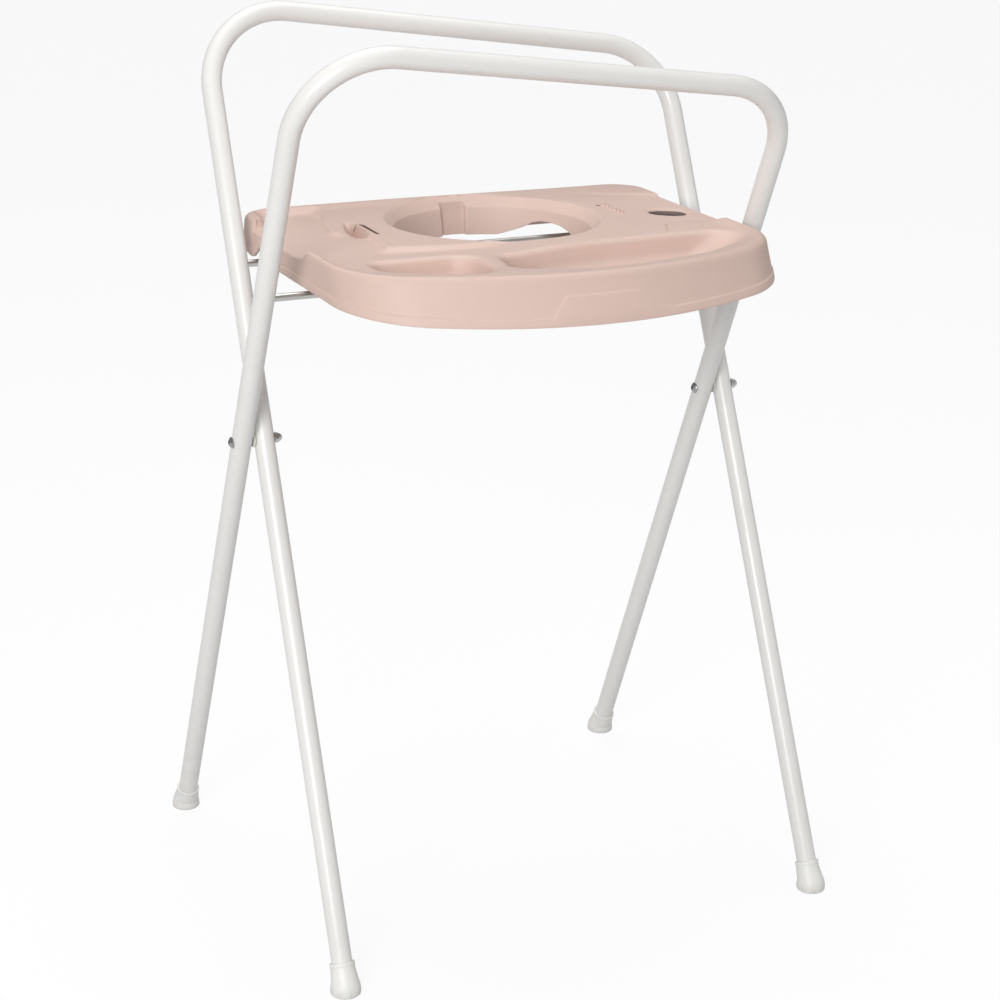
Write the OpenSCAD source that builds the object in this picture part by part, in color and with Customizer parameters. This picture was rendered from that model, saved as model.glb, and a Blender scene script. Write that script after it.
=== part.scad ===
// Folding stand for a baby bath: two bent tube frames crossed like scissors on a
// screw at each side, a cross rod in each frame, and a moulded tray on the rods.
// X runs to the right, Y to the rear and Z up. The origin is on the floor, in
// the middle of the open stand. Lengths are in millimetres, angles in degrees.

/* [Tube frames] */
// Outer diameter of the frame tube
tube_d = 22; // [18:0.5:26]
// Wall of the frame tube
tube_wall = 1.2; // [0.8:0.1:2]
// Height of the pivot screws above the floor
pivot_height = 535; // [480:5:580]
// Lean of each frame from upright when the stand is open
frame_lean = 24.5; // [20:0.5:28]
// Distance between a frame's leg centre lines at the pivot
leg_span = 557.4; // [540:0.2:600]
// Angle by which each leg leans inwards towards the top
leg_splay = 0.5; // [0:0.1:1]
// Reach along the frame from the pivot to the left top corner
left_corner_reach = 477; // [440:1:500]
// Reach along the frame from the pivot to the right top corner
right_corner_reach = 400; // [370:1:430]
// Centre-line radius of the bends below the top bar
bend_radius = 87; // [60:1:110]
// Amount by which bending swells the tube's wall on each side
bend_swell = 0.02; // [0.01:0.01:0.1]

/* [Pivots] */
// Diameter of the pivot screw's shank
screw_d = 6; // [5:0.5:8]
// Diameter of the screw's domed head
screw_head_d = 12.4; // [10:0.2:16]
// Height of the screw's domed head
screw_head_h = 3.4; // [2.5:0.1:5]
// Width across the flats of the socket in the head
socket_flats = 4; // [3:0.5:5]
// Depth of the socket in the head
socket_depth = 1.8; // [1:0.1:2.4]
// Diameter of the washer between the two frames
washer_d = 15; // [12:0.5:20]
// Thickness of the washer between the two frames
washer_t = 2.2; // [1.5:0.1:4]
// Width across the flats of the cap nut
nut_flats = 10; // [9:0.5:14]
// Height of the nut's six-sided part
nut_hex_h = 4.4; // [3.5:0.1:6]
// Diameter of the nut's dome
nut_dome_d = 9; // [8:0.5:12]

/* [Cross rods] */
// Diameter of the cross rods
rod_d = 8; // [6:0.5:10]
// Reach along the frame from the pivot to its cross rod
rod_reach = 189; // [175:1:200]
// Depth to which a rod enters the leg that holds it
rod_insert = 14; // [8:0.5:18]

/* [Feet] */
// Diameter of a foot cap at its upper end
foot_top_d = 26.6; // [25:0.2:30]
// Diameter of a foot cap's round base on the floor
foot_base_d = 32.6; // [30:0.2:38]
// Length of a foot cap along the leg
foot_length = 33; // [26:1:45]
// Height of the foot cap's round base
foot_base_h = 11; // [8:0.5:14]
// Thickness of the foot cap under the tube's end
foot_floor = 3.5; // [2:0.5:6]
// Radius of the rounded bottom edge of a foot cap
foot_edge_r = 2.4; // [1:0.2:4]

/* [Tray body] */
// Wall of the tray's shell
tray_wall = 2.5; // [2:0.1:3]
// Half the tray's width at its bottom edge
tray_half_w = 244; // [236:1:246]
// Reach of the tray's bottom edge in front of the pivot plane
tray_front = 281; // [270:1:290]
// Reach of the tray's bottom edge behind the pivot plane
tray_rear = 156; // [150:1:165]
// Height of the tray's deck above the rod centres
deck_rise = 44; // [40:1:50]
// Height of the sloping shoulder below the deck
shoulder_h = 8; // [4:0.5:10]
// Inward step of the shoulder in front and at the rear
shoulder_in = 8; // [4:0.5:10]
// Inward step of the shoulder at the sides
side_shoulder_in = 3; // [1:0.5:8]
// Inward slope of the side and rear walls from bottom to shoulder
side_draft = 2; // [1:0.5:4]
// Inward slope of the front wall from bottom to shoulder
front_draft = 20; // [10:1:26]
// Radius of the bowed front edge in plan
bow_radius = 500; // [420:10:600]
// Radius of the front corners in plan
front_corner_r = 115; // [80:5:130]
// Radius of the rear corners in plan
rear_corner_r = 38; // [24:1:50]
// Height of the side walls' bottom edge above the rod centres
side_edge_rise = 6; // [4.5:0.5:10]
// Drop of the front wall's bottom edge in the middle below the side walls' edge
front_edge_drop = 11; // [6:0.5:14]
// Distance in front of the pivot plane where the bottom edge starts to drop
edge_drop_start = 118; // [100:2:140]
// Height of the thicker lip along the bottom edge
lip_h = 8.5; // [5:0.5:12]
// Amount by which the lip stands out from the wall
lip_out = 2; // [1:0.5:3]

/* [Tray hole] */
// Radius of the round hole at the deck
hole_r = 112; // [100:0.5:114]
// Distance of the hole's centre to the right of the middle
hole_x = 4; // [0:0.5:6]
// Distance of the hole's centre behind the pivot plane
hole_y = 25.5; // [22:0.5:30]
// Inward step of the sloping rim round the hole
rim_in = 9.5; // [3:0.5:11]
// Height of the sloping rim round the hole
rim_h = 9; // [5:0.5:12]
// Inward slope of the hole's wall from the rim to its lower edge
hole_draft = 3.5; // [1:0.5:5]
// Height of the hole wall's lower edge above the rod centres
hole_edge_rise = -1; // [-3:0.5:3]
// Height of the gap over the rear rod in the hole's wall and the side walls
rod_gap_rise = 18; // [14:1:24]

/* [Tray platforms and dishes] */
// Depth of the left platform below the deck
left_platform_depth = 14; // [10:1:18]
// Depth of the right platform below the deck at the tray's side
right_platform_depth = 6.5; // [4:0.5:9]
// Depth of the front platform below the deck at its rear edge
front_platform_depth = 8; // [4:0.5:12]
// Rise of the front platform towards the front, as an angle
front_platform_slope = 3.2; // [2:0.1:4]
// Depth of the soap dish below the deck
soap_dish_depth = 26; // [18:1:30]
// Depth of the long dish below the deck
long_dish_depth = 27; // [18:1:30]
// Depth of the wall under the left slot's rim, below the deck
slot_wall_depth = 24; // [20:1:28]

/* [Tray clips] */
// Distance of the clips from the middle
clip_x = 205; // [180:1:215]
// Width of a clip along the rod
clip_w = 14; // [10:1:20]
// Wall of a clip round the rod
clip_wall = 4; // [3:0.5:6]
// Width of the front clip's snap opening below its rod
clip_mouth = 6.6; // [5.5:0.1:7.5]
// Angle between the two faces of the rear clip's mouth
rear_mouth_angle = 62; // [50:1:80]

/* [Clearances] */
// Radial gap between the pivot screw and the frame that turns on it
pivot_gap = 0.075; // [0.02:0.005:0.1]
// Gap on each side of the washer and under the screw's head
washer_gap = 0.3; // [0.1:0.05:0.5]
// Radial gap round a fixed screw or rod in its hole
fixed_gap = 0.03; // [0.01:0.01:0.1]
// Radial gap between a cross rod and the tray clip on it
clip_gap = 0.08; // [0.02:0.01:0.1]
// Extra room for the rear rod in the mouth of its clip
mouth_gap = 0.15; // [0.05:0.05:0.4]
// Radial gap between a tube's end and its foot cap
foot_gap = 0.05; // [0.02:0.01:0.2]

/* [Hidden] */

$fn = 72;
LEFT = -1;
RIGHT = 1;
REAR_BAR = 1;   // the frame whose top bar is at the rear and whose feet are in front
FRONT_BAR = -1; // the frame whose top bar is in front and whose feet are at the rear
PAST = 1;       // how far a cut runs past the face that it opens
LAP = 0.5;      // how far a straight stretch of tube runs into the bend's wall
ARC_STEP = 6;   // greatest turn of one side of a rounded plan corner

// each frame is moved sideways by this much, so that its legs pass the other's
frame_shift = tube_d / 2 + washer_t / 2 + washer_gap;
grip = 2 * frame_shift + tube_d;
rod_z = pivot_height + rod_reach * cos(frame_lean);
rod_y = rod_reach * sin(frame_lean);
floor_reach = -pivot_height / cos(frame_lean);
// the tube's end is square, so its lowest point is below its centre
leg_end = floor_reach + (foot_floor + tube_d / 2 * sin(frame_lean)) / cos(frame_lean);
foot_y = (pivot_height - foot_base_h / 2) * tan(frame_lean);
// the tray reaches further to the front than the feet do to the rear
origin_y = (foot_y + foot_base_d / 2 - tray_front - lip_out) / 2;

function leg_x(side, reach) = side * (leg_span / 2 - reach * tan(leg_splay));
left_corner = [leg_x(LEFT, left_corner_reach), left_corner_reach];
right_corner = [leg_x(RIGHT, right_corner_reach), right_corner_reach];

// ---- plan outlines: counter-clockwise lists of [x, y, corner radius] ----

function out_of(a, b) = let(d = (b - a) / norm(b - a)) [d.y, -d.x];
function plan(p) = [p.x, p.y];

// the arc that rounds corner q between p and s, moved outwards by grow
function corner_arc(p, q, s, radius, grow) =
    let(
        n1 = out_of(p, q),
        n2 = out_of(q, s),
        turn = atan2(cross(n1, n2), n1 * n2),
        way = sign(turn),
        r = max(radius + way * grow, 0.1),
        tip = q + grow * (n1 + n2) / (1 + n1 * n2),
        start = tip - r * tan(abs(turn) / 2) * [-n1.y, n1.x],
        centre = start - way * r * n1,
        steps = ceil(abs(turn) / ARC_STEP)
    )
    [for (i = [0 : steps])
        let(a = turn * i / steps)
        centre + way * r * [n1.x * cos(a) - n1.y * sin(a), n1.x * sin(a) + n1.y * cos(a)]];

function rounded(pts, grow = 0) =
    let(n = len(pts))
    [for (i = [0 : n - 1])
        each corner_arc(plan(pts[(i + n - 1) % n]), plan(pts[i]), plan(pts[(i + 1) % n]), pts[i].z, grow)];

// the front edge is an arc in the middle that ends at bow degrees to each side, where a
// short straight stretch, of bow_ease degrees, leads over to the corner's arc
bow_ease = 0.6;
function tray_plan(half_w, front, rear) =
    let(
        bow = asin((half_w - front_corner_r) / (bow_radius - front_corner_r)) - bow_ease,
        tip = front + bow_radius * (1 / cos(bow) - 1)
    )
    [[0, -tip, bow_radius], [half_w, half_w * tan(bow) - tip, front_corner_r],
     [half_w, rear, rear_corner_r], [-half_w, rear, rear_corner_r],
     [-half_w, half_w * tan(bow) - tip, front_corner_r]];

bottom_plan = tray_plan(tray_half_w, tray_front, tray_rear);
shoulder_plan = tray_plan(tray_half_w - side_draft, tray_front - front_draft, tray_rear - side_draft);
deck_plan = tray_plan(tray_half_w - side_draft - side_shoulder_in,
                      tray_front - front_draft - shoulder_in, tray_rear - side_draft - shoulder_in);

past_side = tray_half_w + 20;
ramp_y = -58;
ledge_y = -86;
// the right slot: its middle, the distance of its end circles, their radius and its turn
right_slot_at = [tray_half_w - 50, -10];
right_slot_run = 18;
right_slot_r = 9.5;
right_slot_turn = -26;
slot_plan = [[-162, -9, 4], [-148, -9, 4], [-148, 31, 4], [-162, 31, 4]];
left_platform_plan = [
    [-past_side, ramp_y, 1], [-147, ramp_y, 5], [-147, 37, 5], [-158, 44, 5], [-169, 2, 6],
    [-184, 8, 7], [-175, 62, 25], [-158, 104, 14], [-152, 137, 8], [-past_side, 137, 1]
];
front_platform_plan = [
    [-150, -222, 60], [-76, -232, 14], [-68, -205, 12], [-68, -140, 12], [-46, -104, 10], [-52, -94, 6],
    [-155, ledge_y, 6], [-157, ramp_y, 4], [-226, ramp_y, 4], [-226, -142, 80]
];
soap_dish_plan = [
    [-180, -186, 28], [-124, -208, 40], [-90, -208, 14], [-90, -130, 16], [-106, -113, 12],
    [-168, -113, 16], [-202, -136, 12]
];
// the right platform starts here and slopes down to the tray's side
right_platform_x = 119;
right_platform_slope = atan(right_platform_depth / (tray_half_w - right_platform_x));
right_platform_plan = [
    [right_platform_x, -66, 1], [past_side, -66, 1], [past_side, 81, 1], [222, 82, 30], [176, 97, 40],
    [140, 124, 10], [right_platform_x, 124, 1]
];

long_dish_plan = [
    [-60, -203, 14], [60, -206, 120], [168, -182, 60], [220, -134, 16], [203, -106, 14],
    [90, -117, 160], [-46, -123, 12]
];
// y and z round the gap that lets the rear rod through a wall, seen along the rod
rod_gap_plan = [
    [18, -30, 1], [18, -2, 4], [40, rod_gap_rise - 7, 12], [64, rod_gap_rise, 14], [88, rod_gap_rise, 12],
    [98, rod_gap_rise - 7, 8], [118, -2, 4], [118, -30, 1]
];
side_gap_plan = [
    [24, -30, 1], [24, 4, 3], [34, rod_gap_rise, 6], [70, rod_gap_rise, 6], [88, 4, 3], [88, -30, 1]
];

// ---- shared shapes ----

// places its child in a frame: its own Z runs up the frame, from the pivot
module in_frame(lean) {
    translate([lean * frame_shift, 0, pivot_height]) rotate([-lean * frame_lean, 0, 0]) children();
}

// places its child on a leg's centre line, with Z up the leg
module on_leg(side, reach) {
    translate([leg_x(side, reach), 0, reach]) rotate([0, -side * leg_splay, 0]) children();
}

module tube_section(swell) {
    difference() {
        circle(d = tube_d + 2 * swell);
        circle(d = tube_d - 2 * tube_wall - 2 * swell);
    }
}

// a straight tube in the frame's plane from point p to point q
module straight(p, q) {
    run = q - p;
    translate([p.x, 0, p.y]) rotate([0, 90 - atan2(run.y, run.x), 0])
        linear_extrude(height = norm(run)) tube_section(0);
}

// the whole bent tube: two legs, two bends and the sloping top bar between them
module bent_tube() {
    bar_fall = atan2(left_corner.y - right_corner.y, right_corner.x - left_corner.x);
    along_bar = [cos(bar_fall), -sin(bar_fall)];
    turns = [90 - leg_splay + bar_fall, 90 - leg_splay - bar_fall];
    corners = [left_corner, right_corner];
    cut = [for (t = turns) bend_radius * tan(t / 2)];
    for (i = [0, 1]) {
        side = [LEFT, RIGHT][i];
        up_leg = [-side * sin(leg_splay), cos(leg_splay)];
        leg_top = corners[i] - cut[i] * up_leg;
        centre = leg_top + bend_radius * [-side * cos(leg_splay), -sin(leg_splay)];
        start = side == LEFT ? 180 - leg_splay - turns[i] : leg_splay;
        straight([leg_x(side, leg_end), leg_end], leg_top + LAP * up_leg);
        translate([centre.x, 0, centre.y]) rotate([90, 0, 0]) rotate([0, 0, start])
            rotate_extrude(angle = turns[i]) translate([bend_radius, 0]) tube_section(bend_swell);
    }
    straight(left_corner + (cut[0] - LAP) * along_bar, right_corner - (cut[1] - LAP) * along_bar);
}

module cross_bore(x, reach, d, length) {
    translate([x, 0, reach]) rotate([0, 90, 0]) cylinder(h = length, d = d, center = true);
}

// one bent tube; gap is the play that its pivot holes have round the screws
module tube_frame(lean, gap) {
    color("whitesmoke") in_frame(lean) difference() {
        bent_tube();
        for (side = [LEFT, RIGHT]) {
            cross_bore(leg_x(side, 0), 0, screw_d + 2 * gap, tube_d + 2 * PAST);
            // only the wall that faces the other leg is drilled for the rod
            cross_bore(leg_x(side, rod_reach) - side * tube_d / 2, rod_reach, rod_d + 2 * fixed_gap,
                       tube_d / 2);
        }
    }
}

module cross_rod(lean) {
    half_length = leg_x(RIGHT, rod_reach) - tube_d / 2 + rod_insert;
    color("silver") in_frame(lean) cross_bore(0, rod_reach, rod_d, 2 * half_length);
}

module foot(lean, side) {
    base_r = foot_base_d / 2;
    top_r = foot_top_d / 2;
    edge = [for (a = [-90 : 15 : 0])
        [base_r - foot_edge_r + foot_edge_r * cos(a), foot_edge_r + foot_edge_r * sin(a)]];
    top_round = foot_base_h / 3;
    crown = [for (a = [0 : 15 : 75])
        [base_r - top_round + top_round * cos(a), foot_base_h - top_round + top_round * sin(a)]];
    color("ghostwhite") difference() {
        union() {
            translate([lean * frame_shift + leg_x(side, floor_reach), -lean * foot_y, 0])
                rotate_extrude() polygon(concat([[0, 0]], edge, crown, [[0, foot_base_h]]));
            intersection() {
                in_frame(lean) on_leg(side, floor_reach) rotate_extrude() polygon([
                    [0, 0], [(top_r + base_r) / 2, 0], [top_r, foot_length * 0.6],
                    [top_r, foot_length - 1.2], [top_r - 0.4, foot_length - 0.4], [top_r - 1.2, foot_length],
                    [0, foot_length]
                ]);
                translate([0, -lean * foot_y, foot_edge_r]) translate([-leg_span, -leg_span, 0])
                    cube([2 * leg_span, 2 * leg_span, pivot_height]);
            }
        }
        in_frame(lean) on_leg(side, leg_end) cylinder(h = foot_length, d = tube_d + 2 * foot_gap);
    }
}

// ---- pivots: the screw goes in from the left through both legs ----

module at_pivot(side) {
    translate([leg_x(side, 0) - grip / 2, 0, pivot_height]) rotate([0, 90, 0]) children();
}

module pivot_screw(side) {
    dome_r = (pow(screw_head_d / 2, 2) + pow(screw_head_h, 2)) / (2 * screw_head_h);
    color("dimgray") at_pivot(side) difference() {
        union() {
            translate([0, 0, -screw_head_h / 2])
                cylinder(h = screw_head_h / 2 + grip + nut_hex_h, d = screw_d);
            translate([0, 0, -washer_gap]) intersection() {
                translate([0, 0, dome_r - screw_head_h]) sphere(r = dome_r);
                translate([0, 0, -screw_head_h]) cylinder(h = screw_head_h, d = screw_head_d + PAST);
            }
        }
        translate([0, 0, -washer_gap - screw_head_h - PAST])
            cylinder(h = socket_depth + PAST, d = socket_flats / cos(30), $fn = 6);
    }
}

module pivot_washer(side) {
    color("gainsboro") at_pivot(side) translate([0, 0, tube_d + washer_gap]) difference() {
        cylinder(h = washer_t, d = washer_d);
        translate([0, 0, -PAST]) cylinder(h = washer_t + 2 * PAST, d = screw_d + 2 * pivot_gap);
    }
}

module pivot_nut(side) {
    color("silver") at_pivot(side) translate([0, 0, grip]) difference() {
        union() {
            cylinder(h = nut_hex_h, d = nut_flats / cos(30), $fn = 6);
            translate([0, 0, nut_hex_h]) intersection() {
                sphere(d = nut_dome_d);
                cylinder(h = nut_dome_d, d = nut_dome_d + PAST);
            }
        }
        translate([0, 0, -PAST]) cylinder(h = nut_hex_h + 1.2 + PAST, d = screw_d + 2 * fixed_gap);
    }
}

// ---- tray: built with z = 0 at the rod centres ----

module plate(outline, grow, z, t) {
    translate([0, 0, z]) linear_extrude(height = t) polygon(rounded(outline, grow));
}

// the tray's whole body, or with grow < 0 the hollow inside its walls
module tray_block(grow) {
    thin = 0.1;
    low = side_edge_rise - front_edge_drop - PAST;
    hull() {
        plate(bottom_plan, grow, low + min(grow, 0), thin);
        plate(shoulder_plan, grow, deck_rise - shoulder_h + min(grow, 0), thin);
        plate(deck_plan, grow, deck_rise - thin + min(grow, 0), thin);
    }
}

// everything below the tray's bottom edge: level at the sides, dropping to the front
module below_edge(rise) {
    run = tray_front - edge_drop_start;
    edge_r = (pow(run, 2) + pow(front_edge_drop, 2)) / (2 * front_edge_drop);
    translate([-past_side, -edge_drop_start, -2 * deck_rise])
        cube([2 * past_side, tray_rear + edge_drop_start + PAST + lip_out,
              2 * deck_rise + side_edge_rise + rise]);
    intersection() {
        translate([-past_side, -edge_drop_start, side_edge_rise - edge_r]) rotate([0, 90, 0])
            cylinder(h = 2 * past_side, r = edge_r + rise, $fn = 720);
        translate([-past_side, -tray_front - PAST - lip_out, -2 * deck_rise])
            cube([2 * past_side, run + PAST + lip_out, 4 * deck_rise]);
    }
}

module prism_up(outline, grow, z) {
    plate(outline, grow, z - grow, deck_rise + PAST - z + grow);
}

// what is cut out of the tray's top; grow leaves the shell's wall round it
module top_cuts(grow) {
    prism_up(left_platform_plan, grow, deck_rise - left_platform_depth);
    translate([right_platform_x, 0, deck_rise]) rotate([0, right_platform_slope, 0])
        translate([-right_platform_x, 0, 0]) plate(right_platform_plan, grow, -grow, deck_rise);
    prism_up(soap_dish_plan, grow, deck_rise - soap_dish_depth);
    prism_up(long_dish_plan, grow, deck_rise - long_dish_depth);
    // this platform rises to the front from its rear edge
    translate([0, ledge_y, deck_rise - front_platform_depth]) rotate([-front_platform_slope, 0, 0])
        translate([0, -ledge_y, 0]) plate(front_platform_plan, grow, -grow, deck_rise);
}

// the round hole: its wall, the sloping rim above it and the way out above and below
module hole_cut(grow) {
    translate([hole_x, hole_y, 0]) rotate_extrude() polygon([
        [0, hole_edge_rise - PAST], [hole_r - rim_in - hole_draft + grow, hole_edge_rise - PAST],
        [hole_r - rim_in - hole_draft + grow, hole_edge_rise], [hole_r - rim_in + grow, deck_rise - rim_h],
        [hole_r + grow, deck_rise], [hole_r + grow, deck_rise + PAST], [0, deck_rise + PAST]
    ]);
}

module right_slot(grow, low) {
    translate([right_slot_at.x, right_slot_at.y, low]) rotate([0, 0, right_slot_turn]) {
        for (x = [-1, 1] * right_slot_run / 2)
            translate([x, 0, 0]) cylinder(h = deck_rise, r = right_slot_r + grow);
        translate([-right_slot_run / 2, -right_slot_r - grow, 0])
            cube([right_slot_run, 2 * (right_slot_r + grow), deck_rise]);
    }
}

module tray_shell() {
    difference() {
        union() {
            tray_block(0);
            intersection() {
                plate(bottom_plan, lip_out, side_edge_rise - front_edge_drop - PAST,
                      lip_h + front_edge_drop + PAST);
                below_edge(lip_h);
            }
        }
        top_cuts(0);
        hole_cut(0);
        right_slot(0, 0);
        plate(slot_plan, 0, 0, deck_rise);
        difference() {
            tray_block(-tray_wall);
            top_cuts(tray_wall);
            hole_cut(tray_wall);
            right_slot(tray_wall, deck_rise - 10);
            plate(slot_plan, tray_wall, deck_rise - slot_wall_depth, deck_rise);
        }
        below_edge_outside_hole();
        for (side = [LEFT, RIGHT]) {
            rod_gap(rod_gap_plan, side, hole_r / 2, hole_r);
            rod_gap(side_gap_plan, side, tray_half_w - 10, 20);
        }
        // the front rod runs past the hole's wall
        translate([-hole_r, -rod_y - rod_d, hole_edge_rise - PAST])
            cube([2 * hole_r, 3 * rod_d, rod_d - hole_edge_rise]);
    }
}

// trims the outer walls to the bottom edge and leaves the hole's wall longer
module below_edge_outside_hole() {
    difference() {
        below_edge(0);
        translate([hole_x, hole_y, hole_edge_rise]) cylinder(h = deck_rise, r = hole_r + tray_wall);
    }
}

module rod_gap(outline, side, x, length) {
    translate([side > 0 ? x : -x - length, 0, 0]) rotate([90, 0, 90])
        linear_extrude(height = length) polygon(rounded(outline));
}

module clip_block(side, y, low, top) {
    w = rod_d + 2 * clip_wall;
    translate([side * clip_x - clip_w / 2, y - w / 2, low]) cube([clip_w, w, top - low]);
}

module clip_seat(side, y) {
    translate([side * clip_x, y, 0]) rotate([0, 90, 0])
        cylinder(h = clip_w + 2 * PAST, d = rod_d + 2 * clip_gap, center = true);
}

module along_clip(side, y) {
    translate([side * clip_x - clip_w / 2 - PAST, y, 0]) rotate([90, 0, 90])
        linear_extrude(height = clip_w + 2 * PAST) children();
}

// a snap clip, open below, by which the tray turns on the front rod
module front_clip(side, top) {
    difference() {
        clip_block(side, -rod_y, -rod_d / 2 - 1.5, top);
        clip_seat(side, -rod_y);
        along_clip(side, -rod_y) translate([-clip_mouth / 2, -rod_d]) square([clip_mouth, rod_d]);
    }
}

// a saddle that drops on the rear rod; its mouth widens towards the front
module rear_clip(side, top) {
    mouth_r = rod_d / 2 + clip_gap + mouth_gap;
    difference() {
        clip_block(side, rod_y, -rod_d / 2, top);
        clip_seat(side, rod_y);
        along_clip(side, rod_y) polygon([
            [0, 0], mouth_r * [-sin(rear_mouth_angle), cos(rear_mouth_angle)],
            [-3 * rod_d * tan(rear_mouth_angle), -3 * rod_d], [mouth_r, -3 * rod_d], [mouth_r, 0]
        ]);
    }
}

module tray() {
    color("rosybrown") translate([0, 0, rod_z]) {
        tray_shell();
        for (side = [LEFT, RIGHT]) {
            // each clip hangs from the platform above it; there is none over the right front one
            top = deck_rise - tray_wall / 2;
            right_fall = (clip_x - right_platform_x) * tan(right_platform_slope);
            rear_clip(side, top - (side == LEFT ? left_platform_depth : right_fall));
            front_clip(side, top - (side == LEFT ? front_platform_depth : 0));
        }
    }
}

module placed() {
    translate([0, -origin_y, 0]) children();
}

placed() tube_frame(REAR_BAR, fixed_gap);  // rear_bar_frame
placed() tube_frame(FRONT_BAR, pivot_gap);  // front_bar_frame
placed() cross_rod(REAR_BAR);  // rear_cross_rod
placed() cross_rod(FRONT_BAR);  // front_cross_rod
placed() foot(REAR_BAR, LEFT);  // front_left_foot
placed() foot(REAR_BAR, RIGHT);  // front_right_foot
placed() foot(FRONT_BAR, LEFT);  // rear_left_foot
placed() foot(FRONT_BAR, RIGHT);  // rear_right_foot
placed() pivot_screw(LEFT);  // left_pivot_screw
placed() pivot_screw(RIGHT);  // right_pivot_screw
placed() pivot_washer(LEFT);  // left_pivot_washer
placed() pivot_washer(RIGHT);  // right_pivot_washer
placed() pivot_nut(LEFT);  // left_pivot_nut
placed() pivot_nut(RIGHT);  // right_pivot_nut
placed() tray();
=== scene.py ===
"""Looks of a folding stand for a baby bath: tubes, rods, foot caps, pivots and tray."""

import logging
import math
from collections.abc import Callable, Sequence
from dataclasses import dataclass, field
from enum import Enum

import bmesh
import bpy
import numpy as np
from mathutils import Matrix, Vector, kdtree
from mathutils.geometry import delaunay_2d_cdt


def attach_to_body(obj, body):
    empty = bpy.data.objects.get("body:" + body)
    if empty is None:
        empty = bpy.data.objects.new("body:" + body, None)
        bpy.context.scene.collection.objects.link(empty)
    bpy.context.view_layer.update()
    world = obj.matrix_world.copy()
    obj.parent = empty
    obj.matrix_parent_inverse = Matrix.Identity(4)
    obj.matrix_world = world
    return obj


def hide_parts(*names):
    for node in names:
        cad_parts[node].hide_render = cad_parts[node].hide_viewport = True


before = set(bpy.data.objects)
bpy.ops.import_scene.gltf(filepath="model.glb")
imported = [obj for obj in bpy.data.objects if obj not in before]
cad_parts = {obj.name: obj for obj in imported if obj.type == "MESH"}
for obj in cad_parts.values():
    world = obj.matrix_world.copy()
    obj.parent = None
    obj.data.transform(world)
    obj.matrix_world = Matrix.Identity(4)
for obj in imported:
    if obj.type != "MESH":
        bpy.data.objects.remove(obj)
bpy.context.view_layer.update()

log = logging.getLogger("bath_stand")
MM = 0.001

Array = np.ndarray
Colour = tuple[float, float, float]
Corner = tuple[float, float, float]
Finish = bpy.types.Material
Graph = tuple[tuple[float, float], ...]
Inputs = dict[str | int, object]
Object = bpy.types.Object
Socket = bpy.types.NodeSocket


class Body(Enum):
    """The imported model's bodies."""

    REAR_BAR = "rear_bar_body"
    FRONT_BAR = "front_bar_body"
    TRAY = "tray_body"


class Lean(Enum):
    """Which way a tube frame leans from its feet to its top bar."""

    TO_REAR = 1
    TO_FRONT = -1


class Side(Enum):
    """A side of the stand, seen from the front."""

    LEFT = -1
    RIGHT = 1


class ClipRow(Enum):
    """The rod that a clip of the tray is for."""

    REAR = 1
    FRONT = -1


# ---- node trees and materials ----


class NodeTree:
    """A node tree of any kind."""

    def __init__(self, tree: bpy.types.NodeTree) -> None:
        """Wraps one of Blender's trees."""
        self.tree, self.nodes = tree, tree.nodes

    def feed(self, node: bpy.types.Node, inputs: Inputs) -> None:
        """Sets or links a node's inputs.

        Args:
            node: the node.
            inputs: values, sockets or signals, by the input's name or number.
        """
        for key, value in inputs.items():
            value = value.socket if isinstance(value, Signal) else value
            if isinstance(value, Socket):
                self.tree.links.new(value, node.inputs[key])
            else:
                node.inputs[key].default_value = value

    def add(self, kind: str, inputs: Inputs | None = None, **settings: object) -> bpy.types.Node:
        """Adds any node.

        Args:
            kind: the node's type.
            inputs: what its inputs get, as in feed().
            settings: its properties, which are set first.

        Returns:
            The new node.
        """
        node = self.nodes.new(kind)
        for key, value in settings.items():
            setattr(node, key, value)
        self.feed(node, inputs or {})
        return node


class Signal:
    """A number socket of a material that works in Python expressions."""

    def __init__(self, tree: "FinishTree", socket: Socket) -> None:
        """Wraps one output socket of a tree."""
        self.tree, self.socket = tree, socket

    def maths(self, operation: str, *values: "Signal | float") -> "Signal":
        """Adds a Math node with an operation on some operands and gives its result."""
        node = self.tree.add("ShaderNodeMath", dict(enumerate(values)), operation=operation)
        return Signal(self.tree, node.outputs[0])

    def __add__(self, other: "Signal | float") -> "Signal":
        """self + other."""
        return self.maths("ADD", self, other)

    def __radd__(self, other: float) -> "Signal":
        """other + self."""
        return self.maths("ADD", other, self)

    def __sub__(self, other: "Signal | float") -> "Signal":
        """self - other."""
        return self.maths("SUBTRACT", self, other)

    def __rsub__(self, other: float) -> "Signal":
        """other - self."""
        return self.maths("SUBTRACT", other, self)

    def __mul__(self, other: "Signal | float") -> "Signal":
        """self * other."""
        return self.maths("MULTIPLY", self, other)

    def __rmul__(self, other: float) -> "Signal":
        """other * self."""
        return self.maths("MULTIPLY", other, self)

    def __truediv__(self, other: "Signal | float") -> "Signal":
        """self / other."""
        return self.maths("DIVIDE", self, other)

    def __rtruediv__(self, other: float) -> "Signal":
        """other / self."""
        return self.maths("DIVIDE", other, self)

    def __pow__(self, other: "Signal | float") -> "Signal":
        """self ** other."""
        return self.maths("POWER", self, other)

    def __abs__(self) -> "Signal":
        """Its amount without its sign."""
        return self.maths("ABSOLUTE", self)

    def step(self, low: float, high: float) -> "Signal":
        """Rises smoothly from 0 at low to 1 at high, which may be less than low."""
        values = {"Value": self, "From Min": low, "From Max": high, "To Min": 0.0, "To Max": 1.0}
        if high < low:
            values |= {"From Min": high, "From Max": low, "To Min": 1.0, "To Max": 0.0}
        node = self.tree.add("ShaderNodeMapRange", values, interpolation_type="SMOOTHSTEP")
        return Signal(self.tree, node.outputs["Result"])


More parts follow.
